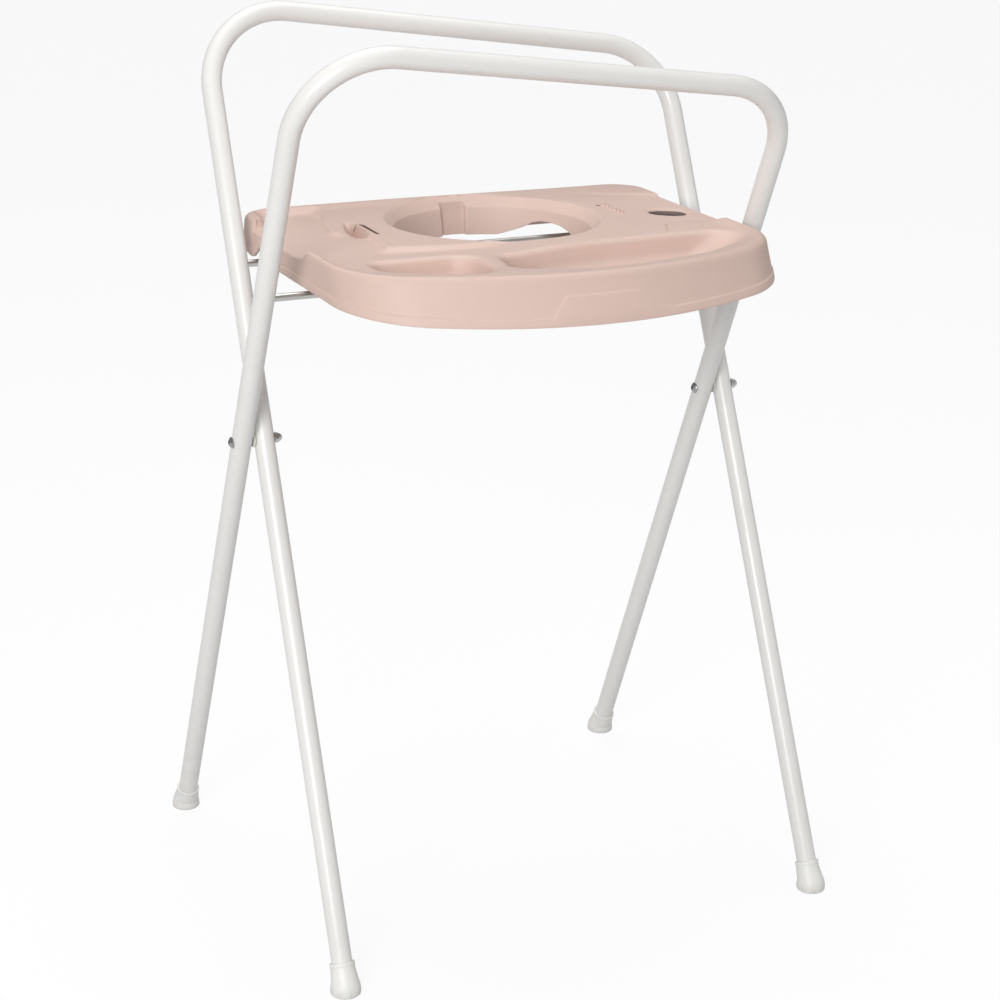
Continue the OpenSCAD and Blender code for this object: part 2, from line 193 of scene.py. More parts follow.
class FinishTree(NodeTree):
    """The node tree of one material, ending in a Principled shader."""

    # The Mix node's sockets when it mixes colours.
    FACTOR, COLOUR_A, COLOUR_B, RESULT = 0, 6, 7, 2

    def __init__(self, name: str, **constants: float) -> None:
        """Starts a material.

        Args:
            name: the material's name.
            constants: Principled inputs that are the same all over, with _ for a space.
        """
        self.material = bpy.data.materials.new(name)
        self.material.use_nodes = True
        super().__init__(self.material.node_tree)
        self.nodes.clear()
        values = {key.replace("_", " "): value for key, value in constants.items()}
        self.shader = self.add("ShaderNodeBsdfPrincipled", values)
        self.end = self.add("ShaderNodeOutputMaterial", {"Surface": self.shader.outputs[0]})
        self.place = self.add("ShaderNodeTexCoord").outputs["Object"]

    def stretched(self, x: float, y: float, z: float) -> Socket:
        """Object coordinates scaled by x, y and z."""
        return self.add("ShaderNodeMapping", {"Vector": self.place, "Scale": (x, y, z)}).outputs[0]

    def noise(self, scale: float, detail: float = 2.0, place: Socket | None = None) -> Signal:
        """Noise from 0 to 1.

        Args:
            scale: how many lumps there are in a metre.
            detail: how many finer layers it has.
            place: the coordinates, or None for the object's own.

        Returns:
            The noise.
        """
        values = {"Vector": place or self.place, "Scale": scale, "Detail": detail}
        return Signal(self, self.add("ShaderNodeTexNoise", values).outputs[0])

    def axis(self, name: str) -> Signal:
        """One of the object coordinates X, Y and Z, in metres."""
        node = self.add("ShaderNodeSeparateXYZ", {0: self.place})
        return Signal(self, node.outputs[name])

    def blend(self, amount: Signal, low: Socket | Colour, high: Colour) -> Socket:
        """Mixes two colours.

        Args:
            amount: 0 for low and 1 for high.
            low: the first colour, or a socket that the second one is laid over.
            high: the second colour.

        Returns:
            The colour socket.
        """
        low = low if isinstance(low, Socket) else (*low, 1.0)
        ends = {self.FACTOR: amount, self.COLOUR_A: low, self.COLOUR_B: (*high, 1.0)}
        return self.add("ShaderNodeMix", ends, data_type="RGBA").outputs[self.RESULT]

    def varied(self, amount: Signal, colour: Colour, darker: float, lighter: float) -> Socket:
        """A colour that varies between two factors of itself."""
        return self.blend(amount, shade(colour, darker), shade(colour, lighter))

    def finish(
        self,
        colour: Socket,
        roughness: Signal,
        relief: Signal,
        height: float,
        strength: float = 0.4,
    ) -> Finish:
        """Feeds the shader.

        Args:
            colour: the base colour.
            roughness: the roughness.
            relief: the bump's height from 0 to 1.
            height: what 1 stands for, in metres.
            strength: the bump's strength.

        Returns:
            The material.
        """
        values = {"Strength": strength, "Distance": height, "Height": relief}
        bump = self.add("ShaderNodeBump", values).outputs[0]
        self.feed(self.shader, {"Base Color": colour, "Roughness": roughness, "Normal": bump})
        return self.material


def shade(colour: Colour, factor: float) -> Colour:
    """A colour made lighter or darker by a factor."""
    return tuple(min(channel * factor, 1.0) for channel in colour)


@dataclass(frozen=True)
class PowderCoat:
    """Warm white powder coat on the frame tubes, with light soiling near the floor."""

    colour: Colour = (0.77, 0.764, 0.748)
    soil: Colour = (0.52, 0.50, 0.46)

    def make(self) -> Finish:
        """The finish as a material."""
        tree = FinishTree("powder_coat", Coat_Weight=0.25, Coat_Roughness=0.2)
        cloud = tree.noise(7.0, 3.0)
        peel = tree.noise(700.0, 2.0)
        rub = tree.noise(3.0, 5.0, tree.stretched(14.0, 14.0, 2.0)).step(0.56, 0.74)
        low = tree.axis("Z").step(0.16, 0.02) * tree.noise(45.0, 4.0).step(0.35, 0.7)
        colour = tree.varied(cloud, self.colour, 0.965, 1.02)
        colour = tree.blend(low * 0.16 + rub * 0.05, colour, self.soil)
        rough = cloud * 0.1 + 0.3 + rub * 0.12 + low * 0.1
        return tree.finish(colour, rough, peel, 0.00012, 0.35)


@dataclass(frozen=True)
class ZincPlate:
    """Bright zinc on drawn steel, with streaks along X and duller patches."""

    name: str = "zinc_plate"
    colour: Colour = (0.52, 0.52, 0.505)
    dull: float = 0.34

    def make(self) -> Finish:
        """The finish as a material."""
        tree = FinishTree(self.name, Metallic=1.0)
        streak = tree.noise(1.0, 3.0, tree.stretched(18.0, 900.0, 900.0))
        patch = tree.noise(60.0, 4.0)
        colour = tree.varied(streak * 0.5 + patch * 0.5, self.colour, 0.78, 1.2)
        rough = patch.step(0.3, 0.7) * 0.14 + streak * 0.1 + self.dull - 0.12
        return tree.finish(colour, rough, streak, 0.00006)


@dataclass(frozen=True)
class MilkyCap:
    """Milky white polyethylene of the foot caps, scuffed and soiled where it stands."""

    colour: Colour = (0.79, 0.785, 0.765)
    soil: Colour = (0.42, 0.40, 0.36)

    def make(self) -> Finish:
        """The finish as a material."""
        tree = FinishTree("milky_cap", Subsurface_Weight=0.12, Subsurface_Scale=0.004)
        cloud = tree.noise(40.0, 3.0)
        scuff = tree.noise(1.0, 4.0, tree.stretched(260.0, 260.0, 70.0)).step(0.52, 0.72)
        low = tree.axis("Z").step(0.012, 0.001) * (scuff * 0.7 + 0.3)
        colour = tree.varied(cloud, self.colour, 0.95, 1.03)
        colour = tree.blend(low * 0.4 + scuff * 0.05, colour, self.soil)
        rough = cloud * 0.12 + scuff * 0.1 + 0.36
        return tree.finish(colour, rough, tree.noise(900.0), 0.00008)


@dataclass(frozen=True)
class NylonWasher:
    """Off-white nylon of the spacers between the legs."""

    colour: Colour = (0.66, 0.65, 0.61)

    def make(self) -> Finish:
        """The finish as a material."""
        tree = FinishTree("nylon_washer")
        cloud = tree.noise(150.0, 3.0)
        colour = tree.varied(cloud, self.colour, 0.93, 1.04)
        return tree.finish(colour, cloud * 0.14 + 0.42, tree.noise(1200.0), 0.00006)


@dataclass(frozen=True)
class MouldedPlastic:
    """Dusty pink moulded polypropylene of the tray, with a fine spark-eroded grain and painted
    shade in three boxes below openings.
    """

    colour: Colour = (0.636, 0.474, 0.415)
    # The painted shade: how dark it makes the colour, and how softly it fades at the boxes' sides
    # and top.
    painted_shade_factor: float = 0.28
    painted_shade_edge: float = 0.0006
    painted_shade_lip: float = 0.0008
    # Left, right, front, rear and top of the boxes where deep shade is painted into the colour, in
    # metres: below the right slot, the gap by the tab and the small hole.
    painted_shade_boxes: tuple[tuple[float, ...], ...] = (
        (0.1335, 0.2414, -0.055, 0.140, 0.7431),
        (-0.1416, -0.118, -0.020, 0.080, 0.7473),
        (0.1425, 0.1515, 0.0520, 0.0624, 0.7469),
    )

    def painted_shade_mask(self, tree: FinishTree, box: Sequence[float]) -> Signal:
        """1 inside one of the boxes of painted shade and 0 outside it."""
        (left, right, front, rear, top), soft = box, self.painted_shade_edge
        across, along, up = (tree.axis(name) for name in "XYZ")
        deep = across.step(left, left + soft) * across.step(right, right - soft)
        deep = deep * along.step(front, front + soft) * along.step(rear, rear - soft)
        return deep * up.step(top, top - self.painted_shade_lip)

    def make(self) -> Finish:
        """The finish as a material."""
        tree = FinishTree("moulded_plastic", Specular_IOR_Level=0.36)
        cloud = tree.noise(5.0, 3.0)
        flow = tree.noise(1.0, 4.0, tree.stretched(5.0, 22.0, 10.0))
        grain = tree.noise(1500.0, 3.0)
        rub = tree.noise(28.0, 5.0).step(0.55, 0.75)
        colour = tree.varied(cloud * 0.5 + flow * 0.3 + grain * 0.2, self.colour, 0.95, 1.05)
        colour = tree.blend(rub * 0.06, colour, shade(self.colour, 1.25))
        # Painted shade: the colour darkens in each box, standing in for the shadow inside the
        # openings.
        dark = shade(self.colour, self.painted_shade_factor)
        for box in self.painted_shade_boxes:
            colour = tree.blend(self.painted_shade_mask(tree, box), colour, dark)
        rough = flow * 0.1 + 0.47 - rub * 0.06
        return tree.finish(colour, rough, grain * 0.7 + tree.noise(420.0) * 0.3, 0.00014)


# ---- meshes ----


def linked(name: str, data: bpy.types.ID) -> Object:
    """A new object with its data, linked to the scene."""
    thing = bpy.data.objects.new(name, data)
    bpy.context.scene.collection.objects.link(thing)
    return thing


def made_sound(mesh: bpy.types.Mesh) -> None:
    """Merges a closed mesh's doubles and points its faces outwards."""
    data = bmesh.new()
    data.from_mesh(mesh)
    bmesh.ops.remove_doubles(data, verts=data.verts, dist=1e-7)
    bmesh.ops.recalc_face_normals(data, faces=data.faces)
    data.to_mesh(mesh)
    data.free()


def piece(name: str, points: Array, faces: Sequence[Sequence[int]], crease: float) -> Object:
    """Makes an object from points in metres.

    Args:
        name: the piece's name.
        points: its vertices.
        faces: its faces, as vertex numbers.
        crease: the angle in degrees above which an edge stays sharp.

    Returns:
        The object, linked to the scene.
    """
    mesh = bpy.data.meshes.new(name)
    mesh.from_pydata([tuple(p) for p in points], [], [tuple(f) for f in faces])
    made_sound(mesh)
    mesh.shade_smooth()
    mesh.set_sharp_from_angle(angle=math.radians(crease))
    return linked(name, mesh)


def ring_faces(rings: int, count: int) -> list[tuple[int, ...]]:
    """Quads between neighbouring closed rings with a number of points each."""
    faces = []
    for low in range(0, (rings - 1) * count, count):
        for i in range(count):
            j = (i + 1) % count
            faces.append((low + i, low + j, low + count + j, low + count + i))
    return faces


def lofted(name: str, rings: Sequence[Array], crease: float) -> Object:
    """A closed solid through rings of equal count, with a centre point at each end.

    Args:
        name: the piece's name.
        rings: the rings' points in metres.
        crease: the angle above which an edge stays sharp.

    Returns:
        The object.
    """
    count = len(rings[0])
    points = np.vstack([*rings, rings[0].mean(0), rings[-1].mean(0)])
    faces = ring_faces(len(rings), count)
    last, end = (len(rings) - 1) * count, len(rings) * count
    for i in range(count):
        j = (i + 1) % count
        faces += [(end, j, i), (end + 1, last + i, last + j)]
    return piece(name, points, faces, crease)


def attach(thing: Object, finish: Finish, body: Body, nodes: Sequence[str]) -> None:
    """Gives a finished piece its material and body, and hides the CAD nodes that it stands for.

    Args:
        thing: the piece.
        finish: its material.
        body: the body that it rides on.
        nodes: the CAD nodes that it replaces.
    """
    thing.data.materials.clear()
    thing.data.materials.append(finish)
    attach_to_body(thing, body.value)
    if nodes:
        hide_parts(*nodes)
    log.info("%s: %d faces on %s", thing.name, len(thing.data.polygons), body.value)


class ShapeTree(NodeTree):
    """A Geometry Nodes tree with named inputs, applied once to an object."""

    def __init__(self, name: str) -> None:
        """Starts a tree that passes geometry in and out."""
        self.group = bpy.data.node_groups.new(name, "GeometryNodeTree")
        super().__init__(self.group)
        self.values: dict[str, object] = {}
        self.socket("Geometry", "Geometry")
        self.socket("Geometry", "Geometry", "OUTPUT")
        self.start = self.add("NodeGroupInput")

    def socket(self, name: str, kind: str, way: str = "INPUT") -> str:
        """Adds a socket to the tree's ends and gives its identifier."""
        sockets = self.group.interface
        return sockets.new_socket(name, in_out=way, socket_type="NodeSocket" + kind).identifier

    def size(self, name: str, kind: str, value: object) -> Socket:
        """Adds a named input.

        Args:
            name: its name.
            kind: the end of its socket type, such as Float.
            value: what the modifier gives it.

        Returns:
            The socket to link from.
        """
        self.values[self.socket(name, kind)] = value
        return self.start.outputs[name]

    def places(self, sockets: Sequence[Socket]) -> Socket:
        """A mesh line with one vertex at each of two or more named places."""
        line = self.add("GeometryNodeMeshLine", {"Count": len(sockets)}).outputs[0]
        number = self.add("GeometryNodeInputIndex").outputs[0]
        where = self.add("GeometryNodeIndexSwitch", {"Index": number}, data_type="VECTOR")
        for _ in sockets[2:]:
            where.index_switch_items.new()
        self.feed(where, {i + 1: socket for i, socket in enumerate(sockets)})
        ends = {"Geometry": line, "Position": where.outputs[0]}
        return self.add("GeometryNodeSetPosition", ends).outputs[0]

    def apply(self, name: str, end: Socket, finish: Finish, base: Object | None = None) -> Object:
        """Ends the tree, runs it on an object and returns the plain result.

        Args:
            name: the new piece's name.
            end: the geometry to end with.
            finish: the material for Set Material.
            base: the object that gives the tree its geometry, or None for an empty one.

        Returns:
            The new object, with a plain mesh and no modifier.
        """
        real = self.add("GeometryNodeRealizeInstances", {0: end}).outputs[0]
        dressed = self.add("GeometryNodeSetMaterial", {"Geometry": real, "Material": finish})
        self.add("NodeGroupOutput", {0: dressed.outputs[0]})
        base = base or linked(name + "_base", bpy.data.meshes.new(name + "_base"))
        modifier = base.modifiers.new("nodes", "NODES")
        modifier.node_group = self.group
        for identifier, value in self.values.items():
            modifier[identifier] = value
        graph = bpy.context.evaluated_depsgraph_get()
        mesh = bpy.data.meshes.new_from_object(base.evaluated_get(graph), depsgraph=graph)
        bpy.data.objects.remove(base)
        made_sound(mesh)
        mesh.name = name
        return linked(name, mesh)


# ---- sizes that the whole stand shares, in millimetres ----


@dataclass(frozen=True)
class Layout:
    """Where the two leaning frames are."""

    pivot_height: float = 535.0
    lean: float = 24.5
    leg_span: float = 557.4
    splay: float = 0.5
    frame_shift: float = 12.4
    origin_y: float = -12.6966
    rod_reach: float = 189.0

    def leg_x(self, side: Side, reach: float) -> float:
        """Distance of a leg's centre line from the frame's middle, at a reach up the frame."""
        return side.value * (self.leg_span / 2 - reach * math.tan(math.radians(self.splay)))

    def leg_point(self, lean: Lean, side: Side, reach: float) -> Vector:
        """A point on a leg's centre line, at a reach up the frame from the pivot."""
        tilt = math.radians(self.lean)
        x = self.leg_x(side, reach) + lean.value * self.frame_shift
        y = lean.value * reach * math.sin(tilt) - self.origin_y
        return Vector((x, y, self.pivot_height + reach * math.cos(tilt)))

    @property
    def floor_reach(self) -> float:
        """Where a leg's centre line meets the floor, along the frame."""
        return -self.pivot_height / math.cos(math.radians(self.lean))

    @property
    def rod_z(self) -> float:
        """Height of the cross rods' centres."""
        return self.pivot_height + self.rod_reach * math.cos(math.radians(self.lean))

    @property
    def rod_y(self) -> float:
        """Distance of the cross rods from the pivot plane."""
        return self.rod_reach * math.sin(math.radians(self.lean))


LAYOUT = Layout()


@dataclass
class TubeFrame:
    """One bent tube: two legs, two bends and the top bar that falls to the right."""

    name: str
    lean: Lean
    body: Body
    tube_d: float = 22.0
    bend_radius: float = 87.0
    left_reach: float = 477.0
    right_reach: float = 400.0
    leg_end: float = -578.9
    bend_steps: int = 40
    round_steps: int = 64
    crease: float = 40.0

    def build(self, finish: Finish) -> None:
        """Builds the tube by Geometry Nodes and puts it in the CAD tube's place."""
        tree = ShapeTree("bent_tube")
        stops = {
            "Left end": (Side.LEFT, self.leg_end),
            "Left corner": (Side.LEFT, self.left_reach),
            "Right corner": (Side.RIGHT, self.right_reach),
            "Right end": (Side.RIGHT, self.leg_end),
        }
        points = [
            tree.size(key, "Vector", LAYOUT.leg_point(self.lean, side, reach) * MM)
            for key, (side, reach) in stops.items()
        ]
        radius = tree.size("Bend radius", "Float", self.bend_radius * MM)
        tube_radius = tree.size("Tube radius", "Float", self.tube_d / 2 * MM)
        line = tree.add("GeometryNodeMeshToCurve", {0: tree.places(points)}).outputs[0]
        bends = {"Curve": line, "Count": self.bend_steps, "Radius": radius, "Limit Radius": True}
        path = tree.add("GeometryNodeFilletCurve", bends, mode="POLY").outputs[0]
        section = {"Resolution": self.round_steps, "Radius": tube_radius}
        circle = tree.add("GeometryNodeCurvePrimitiveCircle", section).outputs[0]
        sweep = {"Curve": path, "Profile Curve": circle, "Fill Caps": True}
        tube = tree.add("GeometryNodeCurveToMesh", sweep).outputs[0]
        smooth = tree.add("GeometryNodeSetShadeSmooth", {"Geometry": tube}).outputs[0]
        thing = tree.apply(self.name + "_tube", smooth, finish)
        thing.data.set_sharp_from_angle(angle=math.radians(self.crease))
        attach(thing, finish, self.body, [self.name])


@dataclass
class FootCap:
    """A moulded cap: a round base on the floor that turns into a sleeve along the leg."""

    node: str
    lean: Lean
    side: Side
    body: Body
    base_r: float = 16.3
    waist_r: float = 14.2
    top_r: float = 13.3
    bore_r: float = 11.05
    base_h: float = 11.0
    length: float = 33.0
    edge_r: float = 2.2
    crease: float = 40.0
    count: int = 72

    def ring(self, along: float, radius: float, tilt: float) -> Array:
        """One ring of the loft.

        Args:
            along: the height of its centre, along the leg's line from the floor.
            radius: its radius.
            tilt: 0 for level and 1 for square to the leg.

        Returns:
            Its points in metres.
        """
        foot = LAYOUT.leg_point(self.lean, self.side, LAYOUT.floor_reach)
        up = (LAYOUT.leg_point(self.lean, self.side, 0.0) - foot).normalized()
        shift = self.base_h / 2 * math.tan(math.radians(LAYOUT.lean)) * self.lean.value
        centre = foot + up * along
        level = Vector((foot.x, foot.y + shift, along))
        middle = level.lerp(centre, tilt)
        way = Vector((0, 0, 1)).lerp(up, tilt).normalized()
        turn = Vector((0, 0, 1)).rotation_difference(way).to_matrix()
        angles = np.linspace(0, 2 * math.pi, self.count, endpoint=False)
        flat = [turn @ Vector((radius * math.cos(a), radius * math.sin(a), 0)) for a in angles]
        return np.array([(middle + p) * MM for p in flat])

    def build(self, finish: Finish) -> None:
        """Lofts the cap, with its rolled foot edge, waist, collar and open top."""
        rings = [self.ring(0.0, self.base_r * share, 0.0) for share in (0.3, 0.75)]
        for a in np.radians(range(-90, 1, 18)):
            out = self.edge_r * math.cos(a) - self.edge_r
            rings.append(self.ring(self.edge_r + self.edge_r * math.sin(a), self.base_r + out, 0.0))
        rows = (
            (6.4, self.base_r - 0.15, 0.0),
            (8.6, self.base_r - 0.6, 0.12),
            (11.2, self.waist_r + 1.1, 0.38),
            (14.4, self.waist_r + 0.35, 0.7),
            (18.0, self.waist_r - 0.15, 0.93),
            (22.0, self.waist_r - 0.65, 1.0),
            (26.0, self.top_r - 0.25, 1.0),
            (self.length - 4.4, self.top_r - 0.3, 1.0),
            (self.length - 4.1, self.top_r - 0.05, 1.0),
            (self.length - 3.4, self.top_r, 1.0),
            (self.length - 1.0, self.top_r, 1.0),
            (self.length - 0.3, self.top_r - 0.25, 1.0),
            (self.length, self.top_r - 0.9, 1.0),
            (self.length, self.bore_r + 0.6, 1.0),
            (self.length - 0.5, self.bore_r, 1.0),
            (self.length - 8.0, self.bore_r, 1.0),
        )
        rings += [self.ring(*row) for row in rows]
        thing = lofted(self.node + "_cap", rings, self.crease)
        attach(thing, finish, self.body, [self.node])


@dataclass
class PivotSet:
    """The two pivots: domed screws with a socket, spacers between the legs and cap nuts."""

    tube_d: float = 22.0
    washer_t: float = 2.2
    washer_gap: float = 0.3
    head_r: float = 6.2
    head_h: float = 3.4
    socket_flats: float = 4.0
    socket_depth: float = 1.8
    screw_r: float = 3.0
    nut_flats: float = 10.0
    nut_h: float = 4.4
    nut_turning: float = 1.09
    nut_dome_r: float = 4.5
    washer_r: float = 7.5
    count: int = 72

    @property
    def grip(self) -> float:
        """Distance from the head to the nut."""
        return 2 * self.tube_d + self.washer_t + 2 * self.washer_gap

    def hexagon(self, flats: float) -> Array:
        """Radius of a hexagon at each angle of a ring."""
        angles = np.linspace(0, 360, self.count, endpoint=False)
        return flats / 2 / np.cos(np.radians((angles % 60) - 30))

    def turned(self, rows: Sequence[tuple[Array | float, float]]) -> list[Array]:
        """Rings in metres, from each one's radius or radii and its place along X."""
        angles = np.linspace(0, 2 * math.pi, self.count, endpoint=False)
        rings = []
        for radius, along in rows:
            places = [np.full(self.count, along), radius * np.cos(angles), radius * np.sin(angles)]
            rings.append(np.stack(places, 1) * MM)
        return rings

    def pair(self, base: Object, finish: Finish, kind: str) -> None:
        """Places a part at both pivots by Geometry Nodes.

        Args:
            base: the part, centred on its pivot's axis.
            finish: its material.
            kind: the part's name, which also ends the CAD nodes' names.
        """
        tree = ShapeTree("pair_of_" + kind)
        spots = []
        for side in Side:
            x = LAYOUT.leg_x(side, 0) - self.grip / 2
            at = Vector((x, -LAYOUT.origin_y, LAYOUT.pivot_height)) * MM
            spots.append(tree.size(f"{side.name.title()} pivot", "Vector", at))
        ends = {"Points": tree.places(spots), "Instance": tree.start.outputs[0]}
        both = tree.add("GeometryNodeInstanceOnPoints", ends).outputs[0]
        thing = tree.apply(kind + "s", both, finish, base)
        attach(thing, finish, Body.REAR_BAR, [f"left_{kind}", f"right_{kind}"])

    def screw(self) -> Object:
        """One screw: a dome with a six-sided socket, and its shank."""
        socket, back = self.hexagon(self.socket_flats), -self.washer_gap
        top, end = back - self.head_h, self.grip + self.nut_h
        sphere = (self.head_r**2 + self.head_h**2) / (2 * self.head_h)
        rows = [(socket * 0.5, top + self.socket_depth), (socket, top + self.socket_depth)]
        rows += [(socket, top + 0.35), (socket + 0.12, top + 0.12)]
        for share in (0.47, 0.56, 0.66, 0.76, 0.85, 0.92, 0.97, 1.0):
            r = self.head_r * share
            rows.append((r, top + sphere - math.sqrt(sphere**2 - r**2)))
        rows += [(self.head_r, back), (self.screw_r, back), (self.screw_r, end)]
        return lofted("screw_base", self.turned(rows), crease=32.0)

    def washer(self) -> Object:
        """One spacer, a disc with rounded rims round the shank."""
        low, r = self.tube_d + self.washer_gap, self.washer_r
        high = low + self.washer_t
        rows = [(self.screw_r, low), (r - 0.4, low), (r - 0.1, low + 0.12), (r, low + 0.4)]
        rows += [(r, high - 0.4), (r - 0.1, high - 0.12), (r - 0.4, high), (self.screw_r, high)]
        return lofted("washer_base", self.turned(rows), crease=40.0)

    def nut(self) -> Object:
        """One cap nut: six flats with turned-off corners, and its dome."""
        flats, corner = self.hexagon(self.nut_flats), self.nut_flats / 2 * self.nut_turning
        low, high, dome = self.grip, self.grip + self.nut_h, self.nut_dome_r
        rows = [
            (np.minimum(flats, corner - 0.3), low),
            (np.minimum(flats, corner + 0.2), low + 0.4),
            (flats, low + 0.9),
            (flats, high - 1.0),
            (np.minimum(flats, corner), high - 0.35),
            (dome + 0.25, high),
        ]
        for a in np.radians(range(0, 90, 12)):
            rows.append((dome * math.cos(a), high + dome * math.sin(a)))
        return lofted("nut_base", self.turned(rows), crease=30.0)

    def build(self, steel: Finish, nylon: Finish, zinc: Finish) -> None:
        """Builds both pivots' screws, spacers and nuts."""
        self.pair(self.screw(), steel, "pivot_screw")
        self.pair(self.washer(), nylon, "pivot_washer")
        self.pair(self.nut(), zinc, "pivot_nut")


# ---- the tray: plan outlines and heights in millimetres, z = 0 at the rod centres ----


def ease(value: Array, low: float, high: float) -> Array:
    """A smooth step from 0 at low to 1 at high."""
    t = np.clip((value - low) / (high - low), 0, 1)
    return t * t * (3 - 2 * t)


def mixed(a: Array | float, b: Array | float, share: Array | float) -> Array:
    """a where share is 0 and b where it is 1."""
    return a * (1 - share) + b * share


def graph(value: Array, table: Graph) -> Array:
    """Reads a table of pairs, with straight lines between its rows."""
    return np.interp(value, *zip(*table))


def inside(points: Array, loop: Array) -> Array:
    """Which points, in rows of x and y, lie inside a closed loop."""
    result = np.zeros(len(points), bool)
    for a, b in zip(loop, np.roll(loop, -1, 0)):
        if a[1] == b[1]:
            continue
        spans = (a[1] > points[:, 1]) != (b[1] > points[:, 1])
        cross = (b[0] - a[0]) * (points[:, 1] - a[1]) / (b[1] - a[1]) + a[0]
        result ^= spans & (points[:, 0] < cross)
    return result


@dataclass
class Outline:
    """A closed plan outline, counter-clockwise, with a radius at each corner."""

    corners: Sequence[Corner]
    step: float = 3.0

    def run(
        self, grow: float = 0.0, counts: Sequence[int] | None = None
    ) -> tuple[Array, list[int]]:
        """The outline moved outwards and sampled.

        Args:
            grow: how far it moves outwards.
            counts: how many points each arc and each straight gets, or None to choose.

        Returns:
            The points, and the counts used.
        """
        n, points, used = len(self.corners), [], []
        flat = [np.array(c[:2], float) for c in self.corners]
        arcs = []
        for i, corner in enumerate(self.corners):
            p, q, s = flat[i - 1], flat[i], flat[(i + 1) % n]
            n1, n2 = (np.array([d[1], -d[0]]) / np.hypot(*d) for d in (q - p, s - q))
            turn = math.atan2(n1[0] * n2[1] - n1[1] * n2[0], float(n1 @ n2))
            way = math.copysign(1.0, turn)
            r = max(corner[2] + way * grow, 0.1)
            tip = q + grow * (n1 + n2) / (1 + n1 @ n2)
            start = tip - r * math.tan(abs(turn) / 2) * np.array([-n1[1], n1[0]])
            arcs.append((start - way * r * n1, way * r * n1, turn, r))
        for i, (centre, arm, turn, r) in enumerate(arcs):
            steps = counts[2 * i] if counts else max(math.ceil(r * abs(turn) / self.step), 3)
            for k in range(steps + 1):
                a = turn * k / steps
                spin = np.array([[math.cos(a), -math.sin(a)], [math.sin(a), math.cos(a)]])
                points.append(centre + spin @ arm)
            following = arcs[(i + 1) % n]
            end = following[0] + following[1]
            gap = end - points[-1]
            parts = counts[2 * i + 1] if counts else max(int(np.hypot(*gap) // self.step), 1)
            here = points[-1]
            points += [here + gap * k / parts for k in range(1, parts)]
            used += [steps, parts]
        return np.array(points), used

    def loop(self, grow: float = 0.0) -> Array:
        """The outline's points, moved outwards by grow."""
        return self.run(grow)[0]

    def depth(self, points: Array) -> Array:
        """How far each point lies inside the outline; it is negative outside."""
        loop = Outline(self.corners, 2.0).loop()
        best = np.full(len(points), np.inf)
        for a, b in zip(loop, np.roll(loop, -1, 0)):
            run = b - a
            t = np.clip(((points - a) @ run) / max(run @ run, 1e-9), 0, 1)
            gap = points - a - t[:, None] * run
            best = np.minimum(best, (gap**2).sum(1))
        return np.where(inside(points, loop), 1, -1) * np.sqrt(best)


@dataclass(frozen=True)
class Wall:
    """The section of a wall between two levels, as shares of its depth."""

    depth: float
    run: float
    top_r: float
    foot_r: float

    def section(self, steps: int) -> tuple[Array, Array]:
        """Distances inwards and the share of the depth at each, by steps in each rounding."""
        slope = math.atan2(self.depth, self.run)
        top, foot = self.top_r * math.tan(slope / 2), self.foot_r * math.tan(slope / 2)
        s, z = [], []
        for k in range(steps + 1):
            a = slope * k / steps
            s.append(-top + self.top_r * math.sin(a))
            z.append(self.top_r * (1 - math.cos(a)))
        for k in range(steps + 1):
            a = slope * (1 - k / steps)
            s.append(self.run + foot - self.foot_r * math.sin(a))
            z.append(self.depth - self.foot_r * (1 - math.cos(a)))
        return np.array(s), np.array(z) / self.depth

    def share(self, distance: Array) -> Array:
        """The share of the depth at a distance inwards."""
        s, z = self.section(12)
        return np.interp(distance, s, z)


# Floor, shoulder and deck outlines: how much narrower and how much shorter in front and at the
# rear each is, and the radii of its bowed front and of its front corners.
PLANS = ((0.0, 0, 0, 500, 106), (1.5, 16, 3, 450, 98), (3.5, 21, 9, 430, 92))
SHOULDER, DECK = 1, 2
BOW_EASE = 0.6
REAR_CORNER_R = 38

# Corners of the outlines in plan: x, y and radius.
LOW_PLATFORMS = (
    (-229, 139, 10), (-229, 99, 8), (-290, 92, 1), (-290, -300, 1), (-60, -300, 1), (60, -300, 1),
    (60, -83, 8), (30, -84, 20), (-9, -85.5, 60), (-55, -86, 90), (-100, -84, 60), (-141, -74, 8),
    (-154, -73, 3), (-151, -58, 12), (-145.6, -14, 10), (-145.6, 7, 0.4), (-143.4, 8, 0.4),
    (-143.4, 42, 0.4), (-145, 43, 0.4), (-145, 58, 4), (-154, 57.5, 6), (-168, 13, 7),
    (-181, 16, 8), (-171, 68, 30), (-158, 106, 16), (-151, 139, 8),
)
SOAP_DISH = (
    (-197, -168, 18), (-152, -211, 50), (-110, -222, 12),
    (-86, -200, 22), (-84, -121, 26), (-196, -117, 18),
)
LONG_DISH = (
    (-76, -219, 22), (8, -234, 190), (134, -214, 110), (228, -156, 26),
    (201, -120, 24), (64, -124, 300), (-60, -140, 16),
)
TAB_GAP = (
    (-146.6, 41.4, 0.5), (-141.6, 41.4, 0.3), (-141.6, -10, 0.8), (-137.2, -17, 1.2),
    (-135.8, 40, 2.0), (-139.5, 44.8, 1.5), (-146.6, 44.8, 0.5),
)

# The slope round the hole, from its crease outwards: radius and height.
CONE = (
    (107.5, 29.5), (108.5, 30.5), (109.6, 31.8), (111.0, 33.3), (112.8, 35.1), (114.6, 37.0),
    (116.2, 38.6), (117.5, 39.7), (118.6, 40.4), (119.7, 40.8), (121.0, 41.0), (123.0, 50.0),
)
# The recess's two ends: degrees from the end and share of the recess's depth.
RECESS_START = (
    (0.0, 0.0), (0.5, 0.03), (1.0, 0.14), (1.3, 0.34),
    (1.5, 0.6), (1.8, 0.84), (2.3, 0.96), (3.0, 1.0),
)
RECESS_END = ((0.4, 0.98), (0.15, 0.8), (0.0, 0.5), (-0.1, 0.2), (-0.25, 0.05), (-0.5, 0.0))
